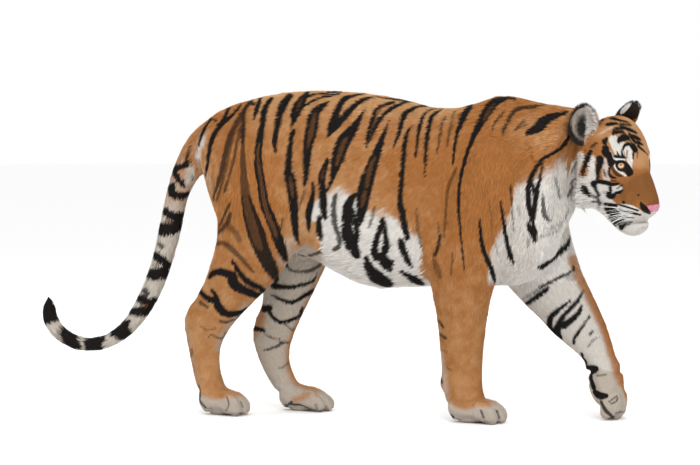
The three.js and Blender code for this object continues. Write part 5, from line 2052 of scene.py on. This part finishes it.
class TIGER_OT_whiskers(bpy.types.Operator):
    """White whiskers in rows on both whisker pads, and a few over each eye"""

    bl_idname = "tiger.whiskers"
    bl_label = "Whiskers"

    def execute(self, context):
        random = np.random.default_rng(SEED + 90)
        surface = surface_of(bpy.data.objects["skin"])
        hairs = []
        for side in (-1, 1):
            for row in range(WHISKER_ROWS):
                for place in range(WHISKERS_IN_ROW):
                    back = place / (WHISKERS_IN_ROW - 1)
                    root = (108 - 34 * back, side * (40 + 12 * back), -112 - 9 * row - 3 * back)
                    way = (-0.75 - 0.2 * back, side * (0.62 - 0.12 * row * 0.5), -0.12 - 0.2 * row)
                    length = (34 + 62 * back) * (0.85 + 0.3 * random.random()) * (1 - 0.08 * row)
                    hairs.append((root, way, length, 0.55 + 0.25 * back, -0.22))
            for place in range(BROW_WHISKERS):
                root = (34 + 7 * place, side * (34 + 5 * place), 26)
                hairs.append((root, (-0.3, side * 0.35, 0.9), 34, 0.4, -0.1))
        pieces = [self.hair(surface, random, *hair) for hair in hairs]
        whiskers = joined("whiskers", pieces)
        finish = Finish("whisker", {"Roughness": 0.3, "Specular IOR Level": 0.5})
        shading = finish.noise(finish.place(), 60, 2)
        white = finish.mix(shading, (0.86, 0.84, 0.80), (0.95, 0.94, 0.92))
        dressed(whiskers, finish.coloured(white))
        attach(whiskers, BODY)
        return {"FINISHED"}

    def hair(self, surface, random, root, way, length, thick, droop):
        start = surface.find_nearest(HEAD @ (Vector(root) * MM))[0]
        way = HEAD.to_3x3() @ (Vector(way).normalized() + Vector(random.normal(0, 0.05, 3)))
        steps = np.linspace(0, 1, 9)
        path = np.array(start) + np.outer(steps * length * MM, way)
        path[:, 2] += droop * length * MM * steps**2
        path[0] -= np.array(way) * 0.003
        return tube("whisker", path, thick * MM * (1 - 0.86 * steps), 5)


# ---------------------------------------------------------------- the studio
# Soft lights: name, place, size, power.
LIGHTS = [
    ("key", (1.6, -3.6, 4.2), 3.5, 150),
    ("fill", (-3.4, -3.0, 2.2), 3.0, 30),
    ("back", (-1.0, 3.6, 3.4), 3.0, 60),
]


class TIGER_OT_studio(bpy.types.Operator):
    """A plain pale floor, soft lights and the camera"""

    bl_idname = "tiger.studio"
    bl_label = "Studio"

    def execute(self, context):
        bpy.ops.object.select_all(action="DESELECT")
        bpy.ops.mesh.primitive_circle_add(vertices=96, radius=30, fill_type="NGON")
        floor = context.object
        floor.name = "floor"
        finish = Finish("pale_floor", {"Roughness": 0.9, "Specular IOR Level": 0.1})
        grain = finish.noise(finish.place(), 30, 3, 0.6)
        pale = finish.mix(grain, (0.95, 0.95, 0.95), (0.98, 0.98, 0.98))
        floor.data.materials.append(finish.coloured(pale))
        world = bpy.data.worlds.new("studio")
        world.use_nodes = True
        world.node_tree.nodes["Background"].inputs["Color"].default_value = (1, 1, 1, 1)
        world.node_tree.nodes["Background"].inputs["Strength"].default_value = 1.0
        context.scene.world = world
        for light in LIGHTS:
            self.light(*light)
        context.scene.view_settings.view_transform = "Standard"
        lens = bpy.data.cameras.new("camera")
        lens.lens = VIEW.lens / MM
        lens.sensor_width = SENSOR / MM
        lens.clip_end = 100
        camera = linked("camera", lens)
        camera.location = VIEW.place
        camera.rotation_euler = VIEW.back.to_track_quat("Z", "Y").to_euler()
        context.scene.camera = camera
        return {"FINISHED"}

    def light(self, name, place, size, power):
        lamp = bpy.data.lights.new(name, "AREA")
        lamp.size = size
        lamp.energy = power
        holder = linked(name, lamp)
        holder.location = place
        holder.rotation_euler = (Vector(place) - VIEW.target).to_track_quat("Z", "Y").to_euler()


# ---------------------------------------------------------------- the add-on
def tint(name, description, default):
    return FloatVectorProperty(name=name, description=description, default=default, subtype="COLOR")


class TIGER_PG_settings(bpy.types.PropertyGroup):
    """Sizes and colours of the tiger"""

    skin_square: FloatProperty(
        name="Skin square", description="Edge of the skin's squares", default=0.0094, unit="LENGTH"
    )
    coat_depth: FloatProperty(
        name="Coat depth", description="Depth of the coat as a share of the hair's length", default=0.14
    )
    spacing: FloatProperty(
        name="Tuft spacing", description="How far apart the tufts stand, 1 as made", default=1.0
    )
    buff: tint("Buff", "Light ground colour", (0.50, 0.27, 0.12))
    orange: tint("Orange", "Ground colour", (0.345, 0.132, 0.034))
    russet: tint("Russet", "Dark ground colour", (0.215, 0.085, 0.024))
    white: tint("White", "Pale hair", (0.65, 0.62, 0.575))
    # Pale hair in part darkened as painted shade: the feet's and tail's grey, and the legs' pale hair.
    grey: tint("Grey", "Pale hair of feet and tail", (0.425, 0.357, 0.29))
    brown: tint("Brown", "Inside of the wide stripes", (0.10, 0.042, 0.014))
    black: tint("Black", "Stripes", (0.008, 0.006, 0.005))


class TIGER_OT_coat(bpy.types.Operator):
    """The coat: thin tufts lying along the body, in a piece for each part of it"""

    bl_idname = "tiger.coat"
    bl_label = "Coat"

    def execute(self, context):
        skin = bpy.data.objects["skin"]
        edited(skin, bpy.ops.mesh.quads_convert_to_tris)
        surface = surface_of(skin)
        pattern = Pattern(surface)
        region = region_of(places(skin))
        material = coat_material("hair", hairs=True)
        for number, name in enumerate(COAT_PIECES):
            piece = grow(skin, surface, pattern, name, region, SEED + number)
            piece.data.materials.append(material)
            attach(piece, BODY)
        return {"FINISHED"}


PARTS = (
    TIGER_OT_skin, TIGER_OT_coat, TIGER_OT_eyes, TIGER_OT_nose, TIGER_OT_ears, TIGER_OT_whiskers,
    TIGER_OT_studio,
)


class TIGER_PT_panel(bpy.types.Panel):
    """The tiger's parts, in the order they are made"""

    bl_label = "Tiger"
    bl_idname = "TIGER_PT_panel"
    bl_space_type = "VIEW_3D"
    bl_region_type = "UI"
    bl_category = "Tiger"

    def draw(self, context):
        for name in TIGER_PG_settings.__annotations__:
            self.layout.prop(context.scene.tiger, name)
        for part in PARTS:
            self.layout.operator(part.bl_idname)


CLASSES = (TIGER_PG_settings, *PARTS, TIGER_PT_panel)


def register():
    for made in CLASSES:
        bpy.utils.register_class(made)
    bpy.types.Scene.tiger = PointerProperty(type=TIGER_PG_settings)


def unregister():
    del bpy.types.Scene.tiger
    for made in reversed(CLASSES):
        bpy.utils.unregister_class(made)


def main():
    register()
    for part in PARTS:
        group, action = part.bl_idname.split(".")
        getattr(getattr(bpy.ops, group), action)()


if __name__ == "__main__":
    main()
